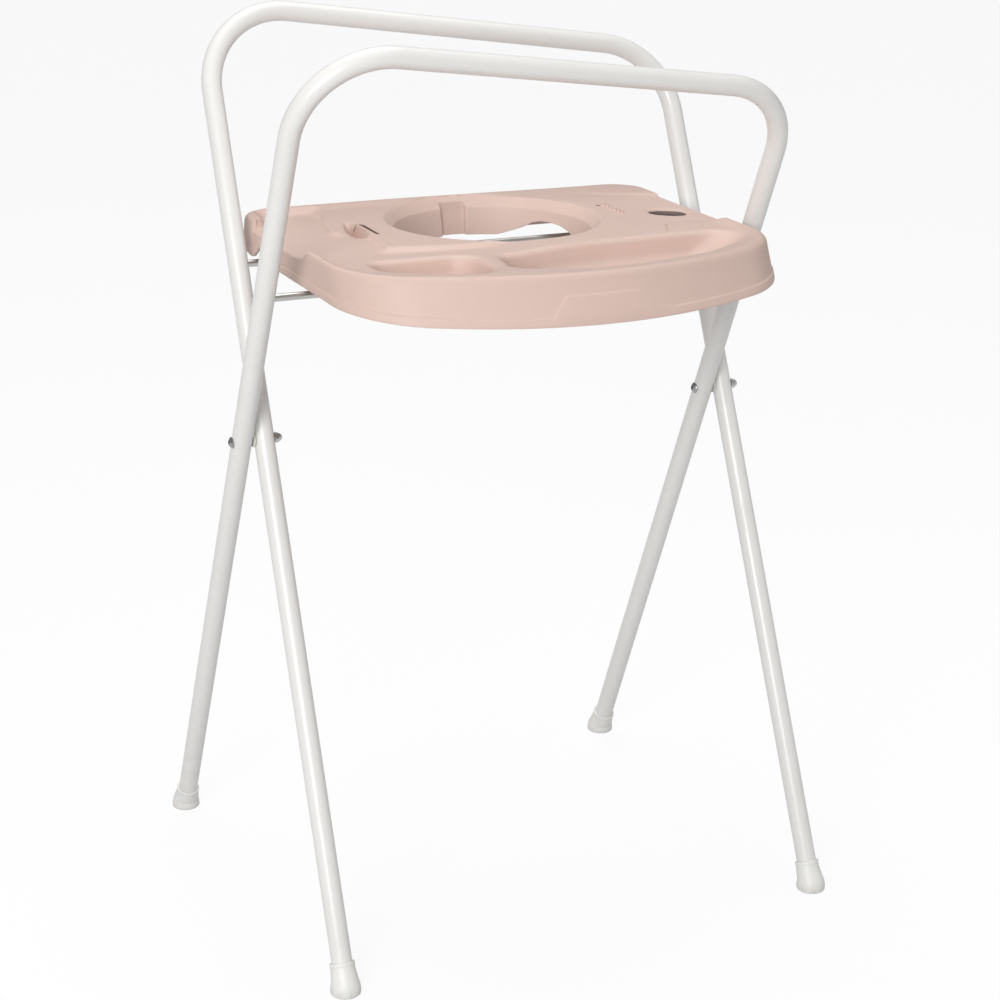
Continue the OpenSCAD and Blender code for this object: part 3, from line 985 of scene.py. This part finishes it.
# Lower edges along y: the side wall's notch, the hole wall's arch and its front.
NOTCH = (
    (23, 6), (25, 7), (34, 16.5), (38, 18), (66, 18),
    (71, 16.5), (86, 6), (89, 4.6), (98, 4.8), (104, 6),
)
ARCH = (
    (17, -1), (19, 1), (36, 9), (44, 12), (60, 16.6), (72, 18),
    (84, 18), (92, 15.5), (99, 10), (116, 0.5), (118, 0),
)
HOLE_FRONT = ((-62, 8.3), (-58, 0))
# Beside ARCH_X the hole's wall has its arch, beyond NOTCH_X the side wall its notch.
ARCH_X, NOTCH_X = 56, 200
# The bare panel along x: share by which the lip's upper edge steps up, in front of PANEL_Y.
PANEL_Y = -200
PANEL = ((-61.5, 0), (-59.5, 0.03), (-45, 0.95), (-42, 1), (26, 1), (31, 0.94), (62, 0.05), (70, 0))
# The foot of the right platform's slope: x and y.
RIGHT_FOOT = ((119, 118), (165, 107), (178, 99), (193, 92), (223, 80), (260, 75))


@dataclass(frozen=True)
class Opening:
    """A small opening in the tray, and how its wall goes down."""

    plan: Outline
    foot: float | None
    thick: float
    under: float


@dataclass
class Tray:
    """The moulded tray: its shell, platforms, dishes, hole, slots, skirt and clips."""

    deck: float = 44.0
    dip: float = 3.0
    rim_fall: float = 2.8
    wall: float = 2.5
    half_w: float = 244.0
    front: float = 281.0
    rear: float = 156.0
    floor_z: float = -6.0
    shoulder_h: float = 8.0
    side_edge: float = 6.0
    rear_edge: float = -1.0
    edge_drop: float = 11.0
    edge_drop_start: float = 118.0
    lip_h: float = 8.5
    lip_out: float = 2.0
    panel_top: float = 24.0
    round_r: float = 2.6
    hole_at: tuple[float, float] = (8.0, 24.5)
    crease_r: float = 108.5
    crease_z: float = 30.5
    hole_foot_r: float = 103.0
    hole_edge_r: float = 104.0
    recess_r: float = 114.5
    recess_from: float = 82.8
    recess_to: float = 98.2
    left_drop: float = 12.5
    left_rise: float = 5.0
    pit: float = 13.0
    right_drop: float = 6.2
    right_soft: float = 11.0
    front_drop: float = 8.0
    front_slope: float = 3.2
    dish_depths: tuple[float, float] = (26.0, 27.0)
    slot_relief: float = 1.5
    slot_depth: float = 12.0
    score_depth: float = 1.8
    rib_h: float = 2.4
    cell: float = 4.6
    under_cell: float = 9.0
    line_gap: float = 0.9
    points: list[Array] = field(default_factory=list)
    faces: list[tuple[int, ...]] = field(default_factory=list)

    def body_plan(
        self, narrow: float, front: float, rear: float, bow_r: float, corner_r: float
    ) -> Outline:
        """The tray's outline with its bowed front edge.

        Args:
            narrow: how much less than half_w it reaches to each side.
            front: how much less it reaches to the front.
            rear: how much less it reaches to the rear.
            bow_r: the radius of the bowed front.
            corner_r: the radius of the two front corners.

        Returns:
            The outline.
        """
        half_w, back = self.half_w - narrow, self.rear - rear
        bow = math.asin((half_w - corner_r) / (bow_r - corner_r)) - math.radians(BOW_EASE)
        tip = self.front - front + bow_r * (1 / math.cos(bow) - 1)
        y = half_w * math.tan(bow) - tip
        corners = [(0, -tip, bow_r), (half_w, y, corner_r), (half_w, back, REAR_CORNER_R)]
        return Outline([*corners, (-half_w, back, REAR_CORNER_R), (-half_w, y, corner_r)], 2.0)

    def __post_init__(self) -> None:
        """Works out the outlines that everything else follows."""
        self.plans = [self.body_plan(*row) for row in PLANS]
        self.low_plan, self.gap = Outline(LOW_PLATFORMS), Outline(TAB_GAP, 1.2)
        self.dishes = (Outline(SOAP_DISH), Outline(LONG_DISH))
        self.right_slot = self.bar(206, -9, 43, 36, -24.6, 17.6)
        self.score = self.bar(161.5, -89, 42, 1.3, 65.5, 0.6)
        self.ribs = [self.bar(154 - 0.1 * k, 45 - 9.3 * k, 12, 2.0, 65, 0.9) for k in range(6)]
        self.dots = [self.bar(-151.5, -24, 2.4, 2.4, 0, 1.18), self.bar(147, 44.5, 9, 5.2, 65, 2.5)]
        self.low_wall = Wall(14.0, 4.0, 1.8, 6.0)
        self.dish_wall = Wall(26.0, 5.0, 9.0, 10.0)

    @staticmethod
    def bar(x: float, y: float, length: float, width: float, turn: float, corner: float) -> Outline:
        """A turned rectangle with rounded corners.

        Args:
            x: its middle, to the right.
            y: its middle, to the rear.
            length: its longer side.
            width: its shorter side.
            turn: how far it is turned from the X axis, in degrees.
            corner: its corner radius.

        Returns:
            The outline.
        """
        c, s = math.cos(math.radians(turn)), math.sin(math.radians(turn))
        half, thick = length / 2, width / 2
        ends = ((-half, -thick), (half, -thick), (half, thick), (-half, thick))
        return Outline([(x + u * c - v * s, y + u * s + v * c, corner) for u, v in ends], 1.6)

    # -- heights --

    def low_floor(self, x: Array, y: Array) -> Array:
        """Height of the left and front platforms at distances to the right and to the rear."""
        # The left one rises from its outer edge and has a pit by the tab.
        level = self.deck - self.left_drop + self.left_rise * ease(x, -242, -180)
        level = level - self.pit * ease(x, -164, -147) * ease(y, 53, 42) * ease(y, -6, 9)
        # The front one rises towards the front and meets the deck at the right.
        rise = np.clip(-86 - y, 0, None) * math.tan(math.radians(self.front_slope))
        rise = np.minimum(self.deck - self.front_drop + rise, self.deck - 0.4)
        rise = mixed(rise, self.deck - self.dip, ease(x, -70, 30))
        return mixed(level, rise, ease(-y, 38, 74))

    def right_share(self, x: Array, y: Array) -> Array:
        """How fully the right platform's level applies, from 0 to 1."""
        soft = ease(graph(x, RIGHT_FOOT) + self.right_soft - y, 0, self.right_soft)
        steep = ease(-y, -81.0, -77.0) * 0.82 + 0.18 * soft
        return mixed(soft, steep, ease(x, 212, 238)) * ease(y, -84, -64) * ease(x, 96, 150)

    def top_height(self, points: Array) -> Array:
        """Height of the tray's upper face at places in plan, in rows of x and y."""
        x, y = points.T
        # The deck dips inside its rim, which falls to the right rear.
        edge = self.plans[DECK].depth(points)
        outer = self.deck - self.rim_fall * ease(x, -90, 190) * ease(y, 20, 100)
        deck = mixed(outer, self.deck - self.dip, ease(edge, 4, 24))
        # The left and front platforms lie lower, behind a wall or a soft slope.
        low = self.low_plan.depth(points)
        soft = np.maximum(ease(y, 98, 120), ease(-y, 64, 78) * ease(-x, 30, 60))
        share = mixed(self.low_wall.share(low), ease(low, -1, 12), soft)
        rim = ease(edge, 15.0, 1.0) * np.where(x < 0, ease(-y, 60, 78), 1.0) * ease(-y, 50, 60)
        z = deck - share * (deck - self.low_floor(x, y)) * (1 - rim)
        # The right platform falls to the right.
        fall = (self.right_drop - self.dip) * np.clip((x - 125) / 108, 0, 1)
        z = mixed(z, np.minimum(z, self.deck - self.dip - fall), self.right_share(x, y))
        # The dishes, the cone round the hole, and the small forms.
        for dish, depth in zip(self.dishes, self.dish_depths):
            inward = dish.depth(points)
            basin = mixed(self.dish_wall.share(inward), ease(inward, -7, 24), ease(x, 165, 205))
            z = np.minimum(z, z - basin * (z - (self.deck - depth)))
        z = np.minimum(z, graph(np.hypot(x - self.hole_at[0], y - self.hole_at[1]), CONE))
        z = z - self.slot_relief * ease(self.right_slot.depth(points), -4.5, 0.2)
        z = z - self.score_depth * ease(self.score.depth(points), -0.7, 0.3)
        for rib in self.ribs:
            z = z + self.rib_h * ease(rib.depth(points), -0.7, 0.4)
        return z

    def under_height(self, points: Array) -> Array:
        """Height of the shell's lower face: a wall below the lowest point nearby."""
        low = self.top_height(points)
        for k in range(8):
            a = k * math.pi / 4
            nearby = points + self.wall * np.array([math.cos(a), math.sin(a)])
            low = np.minimum(low, self.top_height(nearby))
        return low - self.wall

    def edge_height(self, loop: Array) -> Array:
        """Height of the skirt's bottom edge under each point of the outline."""
        x, y = loop.T
        run = np.clip(-self.edge_drop_start - y, 0, None) / (self.front - self.edge_drop_start)
        z = self.side_edge - self.edge_drop * np.clip(run, 0, 1) ** 2
        z = mixed(z, self.rear_edge, ease(y, 138, 152) * ease(np.abs(x), 215, 190))
        return np.where((np.abs(x) > NOTCH_X) & (y > 22) & (y < 104), graph(y, NOTCH), z)

    def lip_height(self, loop: Array) -> Array:
        """Height of the lip's upper edge, which steps up round the bare panel in front."""
        x, y = loop.T
        z = self.edge_height(loop) + self.lip_h
        return np.where(y < PANEL_Y, mixed(z, self.panel_top, graph(x, PANEL)), z)

    # -- mesh --

    def stored(self, rows: Array) -> int:
        """Keeps some of the shell's vertices and gives the number of the first."""
        first = sum(len(kept) for kept in self.points)
        self.points.append(rows)
        return first

    def plan_at(self, z: Array, counts: Sequence[int], grow: float = 0.0) -> Array:
        """The skirt's outline in plan, with each point at its own height.

        Args:
            z: the heights, one for each point of the outline.
            counts: the outline's point counts.
            grow: how far outwards.

        Returns:
            The points in plan.
        """
        floor, shoulder, deck = (plan.run(grow, counts)[0] for plan in self.plans)
        top = self.deck - self.shoulder_h
        up = np.clip((z - top) / self.shoulder_h, 0, 1)[:, None] ** 2
        down = np.clip((z - self.floor_z) / (top - self.floor_z), -0.2, 1)[:, None]
        return mixed(mixed(floor, shoulder, down), deck, up)

    def face_of(
        self,
        loops: Sequence[Array],
        lines: Sequence[Array],
        height: Callable[[Array], Array],
        cell: float,
    ) -> list[Array]:
        """Meshes one face of the shell between its border and its holes.

        Args:
            loops: the border, and then each hole's loop.
            lines: loops that the mesh follows, which may run out of the face.
            height: gives the height at points in plan.
            cell: the grid's spacing away from the lines.

        Returns:
            The vertex numbers of the border and of each hole.
        """

        def on_face(some: Array) -> Array:
            holes = [inside(some, loop) for loop in loops[1:]]
            return inside(some, loops[0]) & ~np.any(holes, axis=0)

        def clear(some: Array, taken: Array, gap: float) -> Array:
            near = kdtree.KDTree(len(taken))
            for i, (x, y) in enumerate(taken):
                near.insert((x, y, 0), i)
            near.balance()
            return on_face(some) & np.array([near.find((x, y, 0))[2] > gap for x, y in some])

        points, edges, start = [np.vstack(loops)], [], 0
        for loop in loops:
            edges += [(start + i, start + (i + 1) % len(loop)) for i in range(len(loop))]
            start += len(loop)
        for line in lines:
            good = clear(line, points[0], self.line_gap)
            numbers = start + np.cumsum(good) - 1
            pairs = zip(numbers, np.roll(numbers, -1), good & np.roll(good, -1))
            edges += [(int(a), int(b)) for a, b, both in pairs if both]
            start += int(good.sum())
            points.append(line[good])
        (left, front), (right, rear) = loops[0].min(0), loops[0].max(0)
        columns, rows = np.arange(left, right, cell), np.arange(front, rear, cell * 0.87)
        grid = np.array([(x + cell / 2 * (k % 2), y) for k, y in enumerate(rows) for x in columns])
        points.append(grid[clear(grid, np.vstack(points), cell * 0.55)])
        flat = [Vector(p) for p in np.vstack(points)]
        corners, _, faces, origins, *_ = delaunay_2d_cdt(flat, edges, [], 0, 1e-5)
        where = np.array([(p[0], p[1]) for p in corners])
        triangles = np.array([face for face in faces if len(face) == 3])
        triangles = triangles[on_face(where[triangles].mean(1))]
        first = self.stored(np.column_stack([where, height(where)]))
        self.faces += [tuple(int(v) + first for v in triangle) for triangle in triangles]
        number_of = {old: new + first for new, olds in enumerate(origins) for old in olds}
        numbers, place = [], 0
        for loop in loops:
            numbers.append(np.array([number_of[place + i] for i in range(len(loop))]))
            place += len(loop)
        return numbers

    def strip(self, upper: Array, rings: Sequence[Array], lower: Array) -> None:
        """Joins two loops of the shell's faces through rings of points.

        Args:
            upper: vertex numbers of the loop on the upper face.
            rings: the rings between them.
            lower: vertex numbers of the loop on the lower face.
        """
        count = len(upper)
        rows = [upper, *(self.stored(ring) + np.arange(count) for ring in rings), lower]
        for a, b in zip(rows, rows[1:]):
            for i in range(count):
                j = (i + 1) % count
                self.faces.append((int(a[i]), int(a[j]), int(b[j]), int(b[i])))

    def hole_loop(self) -> tuple[Array, Array]:
        """Angles and radii of the hole's upper edge, with the shallow recess at the rear."""
        deep = self.recess_r - self.crease_r
        start, stop = self.recess_from - 1.9, self.recess_to + 0.5
        rows = [(a, self.crease_r) for a in np.arange(0.0, 360.0, 1.25) if not start <= a <= stop]
        rows += [(start + a, self.crease_r + deep * share) for a, share in RECESS_START]
        flat = np.linspace(self.recess_from + 2.3, self.recess_to - 0.6, 11)
        rows += [(a, self.recess_r) for a in flat]
        rows += [(self.recess_to - a, self.crease_r + deep * share) for a, share in RECESS_END]
        angles, radii = zip(*sorted(rows))
        return np.radians(angles), np.array(radii)

    def hole_edge(self, x: Array, y: Array) -> Array:
        """Height of the lower edge of the hole's wall, with its gaps for the rods."""
        z = graph(y, HOLE_FRONT)
        return np.where(np.abs(x) > ARCH_X, np.maximum(z, graph(y, ARCH)), z)

    def form_lines(self) -> list[Array]:
        """The loops that the upper face's mesh follows."""
        lines = [self.low_plan.loop(-s) for s in self.low_wall.section(4)[0]]
        for dish in self.dishes:
            lines += [dish.loop(-s) for s in self.dish_wall.section(6)[0]]
        ring = np.radians(np.arange(0, 360, 1.6))
        unit = np.column_stack([np.cos(ring), np.sin(ring)])
        lines += [np.array(self.hole_at) + r * unit for r, _ in CONE[2:]]
        lines += [self.right_slot.loop(grow) for grow in (1.0, 2.2, 3.4, 4.6)]
        small = [(self.score, (0.0, 0.8)), *((rib, (-0.3, 0.3, 1.0)) for rib in self.ribs)]
        for form, rises in small:
            lines += [Outline(form.corners, 0.9).loop(rise) for rise in rises]
        return lines

    def build(self, finish: Finish) -> None:
        """Builds the shell and its clips."""
        base, counts = self.plans[SHOULDER].run()
        crest = self.top_height(base)
        angles, radii = self.hole_loop()
        centre, unit = np.array(self.hole_at), np.column_stack([np.cos(angles), np.sin(angles)])
        slots = [
            Opening(self.gap, self.deck, 0.6, 0.7),
            Opening(self.right_slot, self.deck - self.slot_depth, 1.6, self.wall),
            *(Opening(dot, None, 0.8, 1.2) for dot in self.dots),
        ]
        loops = [self.plan_at(crest, counts, -self.round_r), centre + unit * radii[:, None]]
        loops += [slot.plan.loop() for slot in slots]
        top = self.face_of(loops, self.form_lines(), self.top_height, self.cell)
        loops = [self.plan_at(crest - self.wall, counts, -self.round_r - self.wall)]
        loops += [centre + unit * (radii + self.wall)[:, None]]
        loops += [slot.plan.run(slot.under, slot.plan.run()[1])[0] for slot in slots]
        lines = [self.low_plan.loop(2.5), self.low_plan.loop(-1.0)]
        for dish in self.dishes:
            lines += [dish.loop(grow) for grow in (9.0, 4.5, 0.0, -5.0, -10.0)]
        under = self.face_of(loops, lines, self.under_height, self.under_cell)
        self.skirt(top[0], under[0], crest, counts)
        self.hole_wall(top[1], under[1], angles, radii)
        for slot, upper, lower in zip(slots, top[2:], under[2:]):
            self.slot_wall(upper, lower, slot)
        points = np.vstack(self.points) + np.array([0.0, -LAYOUT.origin_y, LAYOUT.rod_z])
        shell = piece("tray_shell", points * MM, self.faces, crease=38.0)
        attach(shell, finish, Body.TRAY, ["tray"])
        for row in ClipRow:
            for side in Side:
                RodClip(row, side).build(self, finish)

    def skirt(self, upper: Array, lower: Array, crest: Array, counts: Sequence[int]) -> None:
        """Rounds the border over into the skirt, its lip and its inner side.

        Args:
            upper: the upper face's border.
            lower: the lower face's border.
            crest: the heights of the upper border.
            counts: the outline's point counts.
        """
        foot_plan = self.plan_at(np.zeros(len(crest)), counts)
        edge, lip = self.edge_height(foot_plan), self.lip_height(foot_plan)
        lip = np.minimum(lip, crest - self.round_r - 3.0)
        start, inner = crest - self.round_r, crest - self.wall
        x, y = foot_plan.T
        # The panel's edge fades at its right end.
        faint = ease(x, 30, 36) * ease(x, 72, 60) * (y < PANEL_Y)
        rows = []
        for a in np.radians((72, 54, 36, 18, 0)):
            down, back = 1 - math.sin(a), 1 - math.cos(a)
            rows.append((crest - self.round_r * down, -self.round_r * back))
        rows.append((start - 0.7, 0.0))
        for share in (0.12, 0.26, 0.42, 0.6, 0.8):
            rows.append((mixed(start, lip + 1.2 + 6 * faint, share), 0.7 * share))
        rows += [
            (lip + 1.2 + 6 * faint, 0.35),
            (lip + 0.5 + 4 * faint, 0.45 + 0.2 * faint),
            (lip + 0.15 + 2 * faint, 0.9),
            (lip + faint, self.lip_out * 0.75),
            (lip - 0.3, self.lip_out * 0.95),
            (lip - 1.0, self.lip_out),
            (mixed(lip, edge, 0.6), self.lip_out),
            (edge + 1.2, self.lip_out),
            (edge + 0.35, self.lip_out - 0.35),
            (edge, self.lip_out - 1.2),
            (edge, -self.wall + 0.4),
            (edge + 0.4, -self.wall),
            (mixed(edge, inner - 3, 0.35), -self.wall),
            (mixed(edge, inner - 3, 0.7), -self.wall),
            (inner - 3.0, -self.wall),
            (inner - 1.0, -self.wall - self.round_r * 0.35),
        ]
        self.strip(upper, [self.skirt_ring(z, grow, counts) for z, grow in rows], lower)

    def skirt_ring(self, z: Array, grow: float | Array, counts: Sequence[int]) -> Array:
        """One ring of the skirt, which may lie further out in some places.

        Args:
            z: the heights of its points.
            grow: how far outwards it lies, at all its points or at each.
            counts: the outline's point counts.

        Returns:
            The ring's points.
        """
        out = np.broadcast_to(grow, z.shape)
        flat = self.plan_at(z, counts, float(out.min()))
        if out.max() > out.min():
            share = ((out - out.min()) / (out.max() - out.min()))[:, None]
            flat = mixed(flat, self.plan_at(z, counts, float(out.max())), share)
        return np.column_stack([flat, z])

    def hole_wall(self, upper: Array, lower: Array, angles: Array, radii: Array) -> None:
        """Makes the wall round the hole, with the gaps for the rods in its lower edge.

        Args:
            upper: the upper face's loop.
            lower: the lower face's loop.
            angles: the loop's angles.
            radii: the loop's radii.
        """
        (cx, cy), r = self.hole_at, self.hole_edge_r
        crest = graph(radii, CONE)
        slope = (self.crease_r - self.hole_foot_r) / self.crease_z
        edge = self.hole_edge(cx + r * np.cos(angles), cy + r * np.sin(angles))
        inner = self.wall - 0.5
        rows = [(crest - 0.5, -0.35), (crest - 1.3, -0.5)]
        rows += [(mixed(crest - 1.3, edge + 0.7, share), -0.5) for share in (0.15, 0.4, 0.7)]
        rows += [(edge + 0.7, -0.5), (edge, 0.1), (edge, self.wall - 1.0), (edge + 0.6, inner)]
        rows += [(mixed(edge, crest - self.wall - 2, share), inner) for share in (0.4, 0.8)]
        rings = []
        for z, grow in rows:
            r = radii - slope * np.clip(self.crease_z - z, 0, None) + grow
            rings.append(np.column_stack([cx + r * np.cos(angles), cy + r * np.sin(angles), z]))
        self.strip(upper, rings, lower)

    def slot_wall(self, upper: Array, lower: Array, slot: Opening) -> None:
        """Makes the wall round a slot or a small hole.

        Args:
            upper: the upper face's loop.
            lower: the lower face's loop.
            slot: the opening; without a foot it is a plain hole through the shell.
        """
        plan, counts = slot.plan, slot.plan.run()[1]
        crest = self.top_height(plan.loop())
        rows = [(crest - 0.5, -0.15)]
        if slot.foot is None:
            bottom = self.under_height(plan.run(slot.thick, counts)[0])
            rows += [(np.minimum(crest - 1.5, bottom), -0.15)]
        else:
            bottom = np.minimum(slot.foot, crest - 3.0)
            rows += [(mixed(crest, bottom, 0.5), -0.2), (bottom, -0.2), (bottom, slot.thick)]
            rows += [(mixed(bottom, crest - self.wall, 0.6), slot.thick)]
        rings = [np.column_stack([plan.run(grow, counts)[0], z]) for z, grow in rows]
        self.strip(upper, rings, lower)


@dataclass
class RodClip:
    """A clip under the tray, its section in millimetres from the centre of its rod."""

    row: ClipRow
    side: Side
    at_x: float = 205.0
    width: float = 14.0
    half: float = 8.0
    bore_r: float = 4.1
    slack: float = 0.15
    mouth: float = 3.3
    foot: float = -5.5
    rear_foot: float = -4.0
    front_foot: float = -0.2
    rear_wrap: float = 152.0
    bevel: float = 0.5
    sunk: float = 1.4

    @staticmethod
    def arc(r: float, start: float, end: float, count: int) -> list[tuple[float, float]]:
        """Points of the bore from one angle in degrees to another."""
        angles = np.radians(np.linspace(start, end, count))
        return [(r * math.cos(a), r * math.sin(a)) for a in angles]

    def section(self, high: float) -> Array:
        """The outline seen along the rod, y and z, of a clip that ends high up in the tray."""
        if self.row is ClipRow.FRONT:
            turn = math.degrees(math.acos(self.mouth / self.bore_r))
            bore = self.arc(self.bore_r, 180 + turn, -turn, 40)
            points = [(-self.half, high), (-self.half, self.foot), (-self.mouth, self.foot), *bore]
            points += [(self.mouth, self.foot), (self.half, self.foot), (self.half, high)]
        else:
            r = self.bore_r + self.slack
            bore = self.arc(r, self.rear_wrap, 0, 36)
            points = [(-self.half, high), (-self.half, self.front_foot), *bore]
            points += [(r, self.rear_foot), (self.half, self.rear_foot), (self.half, high)]
        return np.array(points)

    def build(self, tray: Tray, finish: Finish) -> None:
        """Extrudes the clip along its rod, up into the tray's shell."""
        x0, y0 = self.side.value * self.at_x, self.row.value * LAYOUT.rod_y
        rings, end = [], self.width / 2
        over = [(x0 + u, y0 + v) for u in (-end, 0, end) for v in (-self.half, 0, self.half)]
        y, z = self.section(float(tray.top_height(np.array(over)).min()) - self.sunk).T
        flank = end - self.bevel
        for x, inset in ((-end, self.bevel), (-flank, 0.0), (flank, 0.0), (end, self.bevel)):
            flat = np.clip(y, inset - self.half, self.half - inset) + y0 - LAYOUT.origin_y
            rings.append(np.column_stack([np.full(len(y), x0 + x), flat, z + LAYOUT.rod_z]) * MM)
        points, count = np.vstack(rings), len(y)
        ends = (range(count - 1, -1, -1), range(len(points) - count, len(points)))
        faces = [*ring_faces(len(rings), count), *ends]
        name = f"tray_clip_{self.row.name.lower()}_{self.side.name.lower()}"
        attach(piece(name, points, faces, crease=30.0), finish, Body.TRAY, [])


# ---- the studio ----


@dataclass
class Studio:
    """Pale floor and backdrop, soft lamps and the camera at the photograph's angle."""

    focal_px: float = 2248.7
    frame_px: float = 1000.0
    camera_at: tuple[float, float, float] = (-0.99365, -2.15994, 1.24639)
    right: tuple[float, float, float] = (0.90945776, -0.41561708, 0.01220731)
    down: tuple[float, float, float] = (-0.12365306, -0.29837632, -0.94640451)
    ahead: tuple[float, float, float] = (0.39698425, 0.85920546, -0.32275298)
    lit_point: tuple[float, float, float] = (0, 0, 0.6)
    ambient: tuple[Colour, float] = ((1.0, 0.99, 0.975), 0.42)
    backdrop: tuple[Colour, float] = ((1, 1, 1), 0.97)
    floor_reach: float = 14.0
    floor_glow: float = 0.9

    def camera(self) -> None:
        """Makes the camera."""
        data = bpy.data.cameras.new("camera")
        data.sensor_width = 36.0
        data.lens = self.focal_px / self.frame_px * data.sensor_width
        data.clip_start, data.clip_end = 0.05, 60.0
        camera = linked("camera", data)
        turn = Matrix((self.right, [-v for v in self.down], [-v for v in self.ahead])).transposed()
        camera.matrix_world = Matrix.Translation(self.camera_at) @ turn.to_4x4()
        bpy.context.scene.camera = camera

    def lamp(self, name: str, at: Sequence[float], size: float, watts: float) -> None:
        """Makes one square soft lamp that faces the tray.

        Args:
            name: the lamp's name.
            at: where it hangs, in metres.
            size: its side in metres.
            watts: its power.
        """
        data = bpy.data.lights.new(name, "AREA")
        data.size, data.energy = size, watts
        lamp = linked(name, data)
        lamp.location = at
        lamp.rotation_mode = "QUATERNION"
        lamp.rotation_quaternion = (Vector(self.lit_point) - Vector(at)).to_track_quat("-Z", "Y")

    def floor_material(self) -> Finish:
        """A pale matte sheet that the camera sees nearly white, with its shadows."""
        tree = FinishTree("pale_floor", Roughness=0.9)
        colour = tree.blend(tree.noise(30.0, 2.0), (0.50, 0.50, 0.50), (0.54, 0.54, 0.54))
        white = tree.add("ShaderNodeEmission", {"Color": (1, 1, 1, 1), "Strength": 1.0}).outputs[0]
        ray = tree.add("ShaderNodeLightPath").outputs
        camera = Signal(tree, ray["Is Camera Ray"])
        colour = tree.blend(camera, colour, (0.95, 0.95, 0.95))
        tree.feed(tree.shader, {"Base Color": colour})
        seen = camera.maths("MAXIMUM", camera, Signal(tree, ray["Is Glossy Ray"]))
        ends = {0: seen * self.floor_glow, 1: tree.shader.outputs[0], 2: white}
        tree.feed(tree.end, {"Surface": tree.add("ShaderNodeMixShader", ends).outputs[0]})
        return tree.material

    def floor(self) -> None:
        """Makes the floor."""
        mesh, r = bpy.data.meshes.new("floor"), self.floor_reach
        mesh.from_pydata([(-r, -r, 0), (r, -r, 0), (r, r, 0), (-r, r, 0)], [], [(0, 1, 2, 3)])
        floor = linked("floor", mesh)
        mesh.materials.append(self.floor_material())

    def world(self) -> None:
        """Makes a dim world that the camera sees nearly white."""
        world = bpy.data.worlds.new("world")
        world.use_nodes = True
        tree = NodeTree(world.node_tree)
        tree.nodes.clear()
        ray = tree.add("ShaderNodeLightPath").outputs["Is Camera Ray"]
        ends = {0: ray}
        for number, (colour, strength) in enumerate((self.ambient, self.backdrop), 1):
            values = {"Color": (*colour, 1), "Strength": strength}
            ends[number] = tree.add("ShaderNodeBackground", values).outputs[0]
        mix = tree.add("ShaderNodeMixShader", ends)
        tree.add("ShaderNodeOutputWorld", {0: mix.outputs[0]})
        bpy.context.scene.world = world

    def build(self) -> None:
        """Builds the floor, the world, the lamps and the camera."""
        self.floor()
        self.world()
        self.lamp("key", (-2.3, -2.7, 1.8), 1.5, 88.0)
        self.lamp("top", (0.1, 0.5, 3.4), 2.0, 44.0)
        self.lamp("fill", (2.8, -1.2, 1.6), 2.0, 7.0)
        self.camera()
        bpy.context.scene.view_settings.view_transform = "Standard"


def main() -> None:
    """Builds and dresses the whole stand, piece by piece."""
    logging.basicConfig(level=logging.INFO, format="%(name)s %(message)s")
    Studio().build()
    log.info("studio ready")
    coat, zinc, cap = PowderCoat().make(), ZincPlate().make(), MilkyCap().make()
    dark = ZincPlate("screw_steel", (0.36, 0.36, 0.37), 0.28).make()
    nylon, plastic = NylonWasher().make(), MouldedPlastic().make()
    TubeFrame("rear_bar_frame", Lean.TO_REAR, Body.REAR_BAR).build(coat)
    TubeFrame("front_bar_frame", Lean.TO_FRONT, Body.FRONT_BAR).build(coat)
    for node, lean, side, body in (
        ("front_left_foot", Lean.TO_REAR, Side.LEFT, Body.REAR_BAR),
        ("front_right_foot", Lean.TO_REAR, Side.RIGHT, Body.REAR_BAR),
        ("rear_left_foot", Lean.TO_FRONT, Side.LEFT, Body.FRONT_BAR),
        ("rear_right_foot", Lean.TO_FRONT, Side.RIGHT, Body.FRONT_BAR),
    ):
        FootCap(node, lean, side, body).build(cap)
    PivotSet().build(dark, nylon, zinc)
    for node in ("rear_cross_rod", "front_cross_rod"):
        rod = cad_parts[node]
        for place in rod.material_slots:
            place.material = zinc
        log.info("%s: finished in zinc", node)
    Tray().build(plastic)


if __name__ == "__main__":
    main()
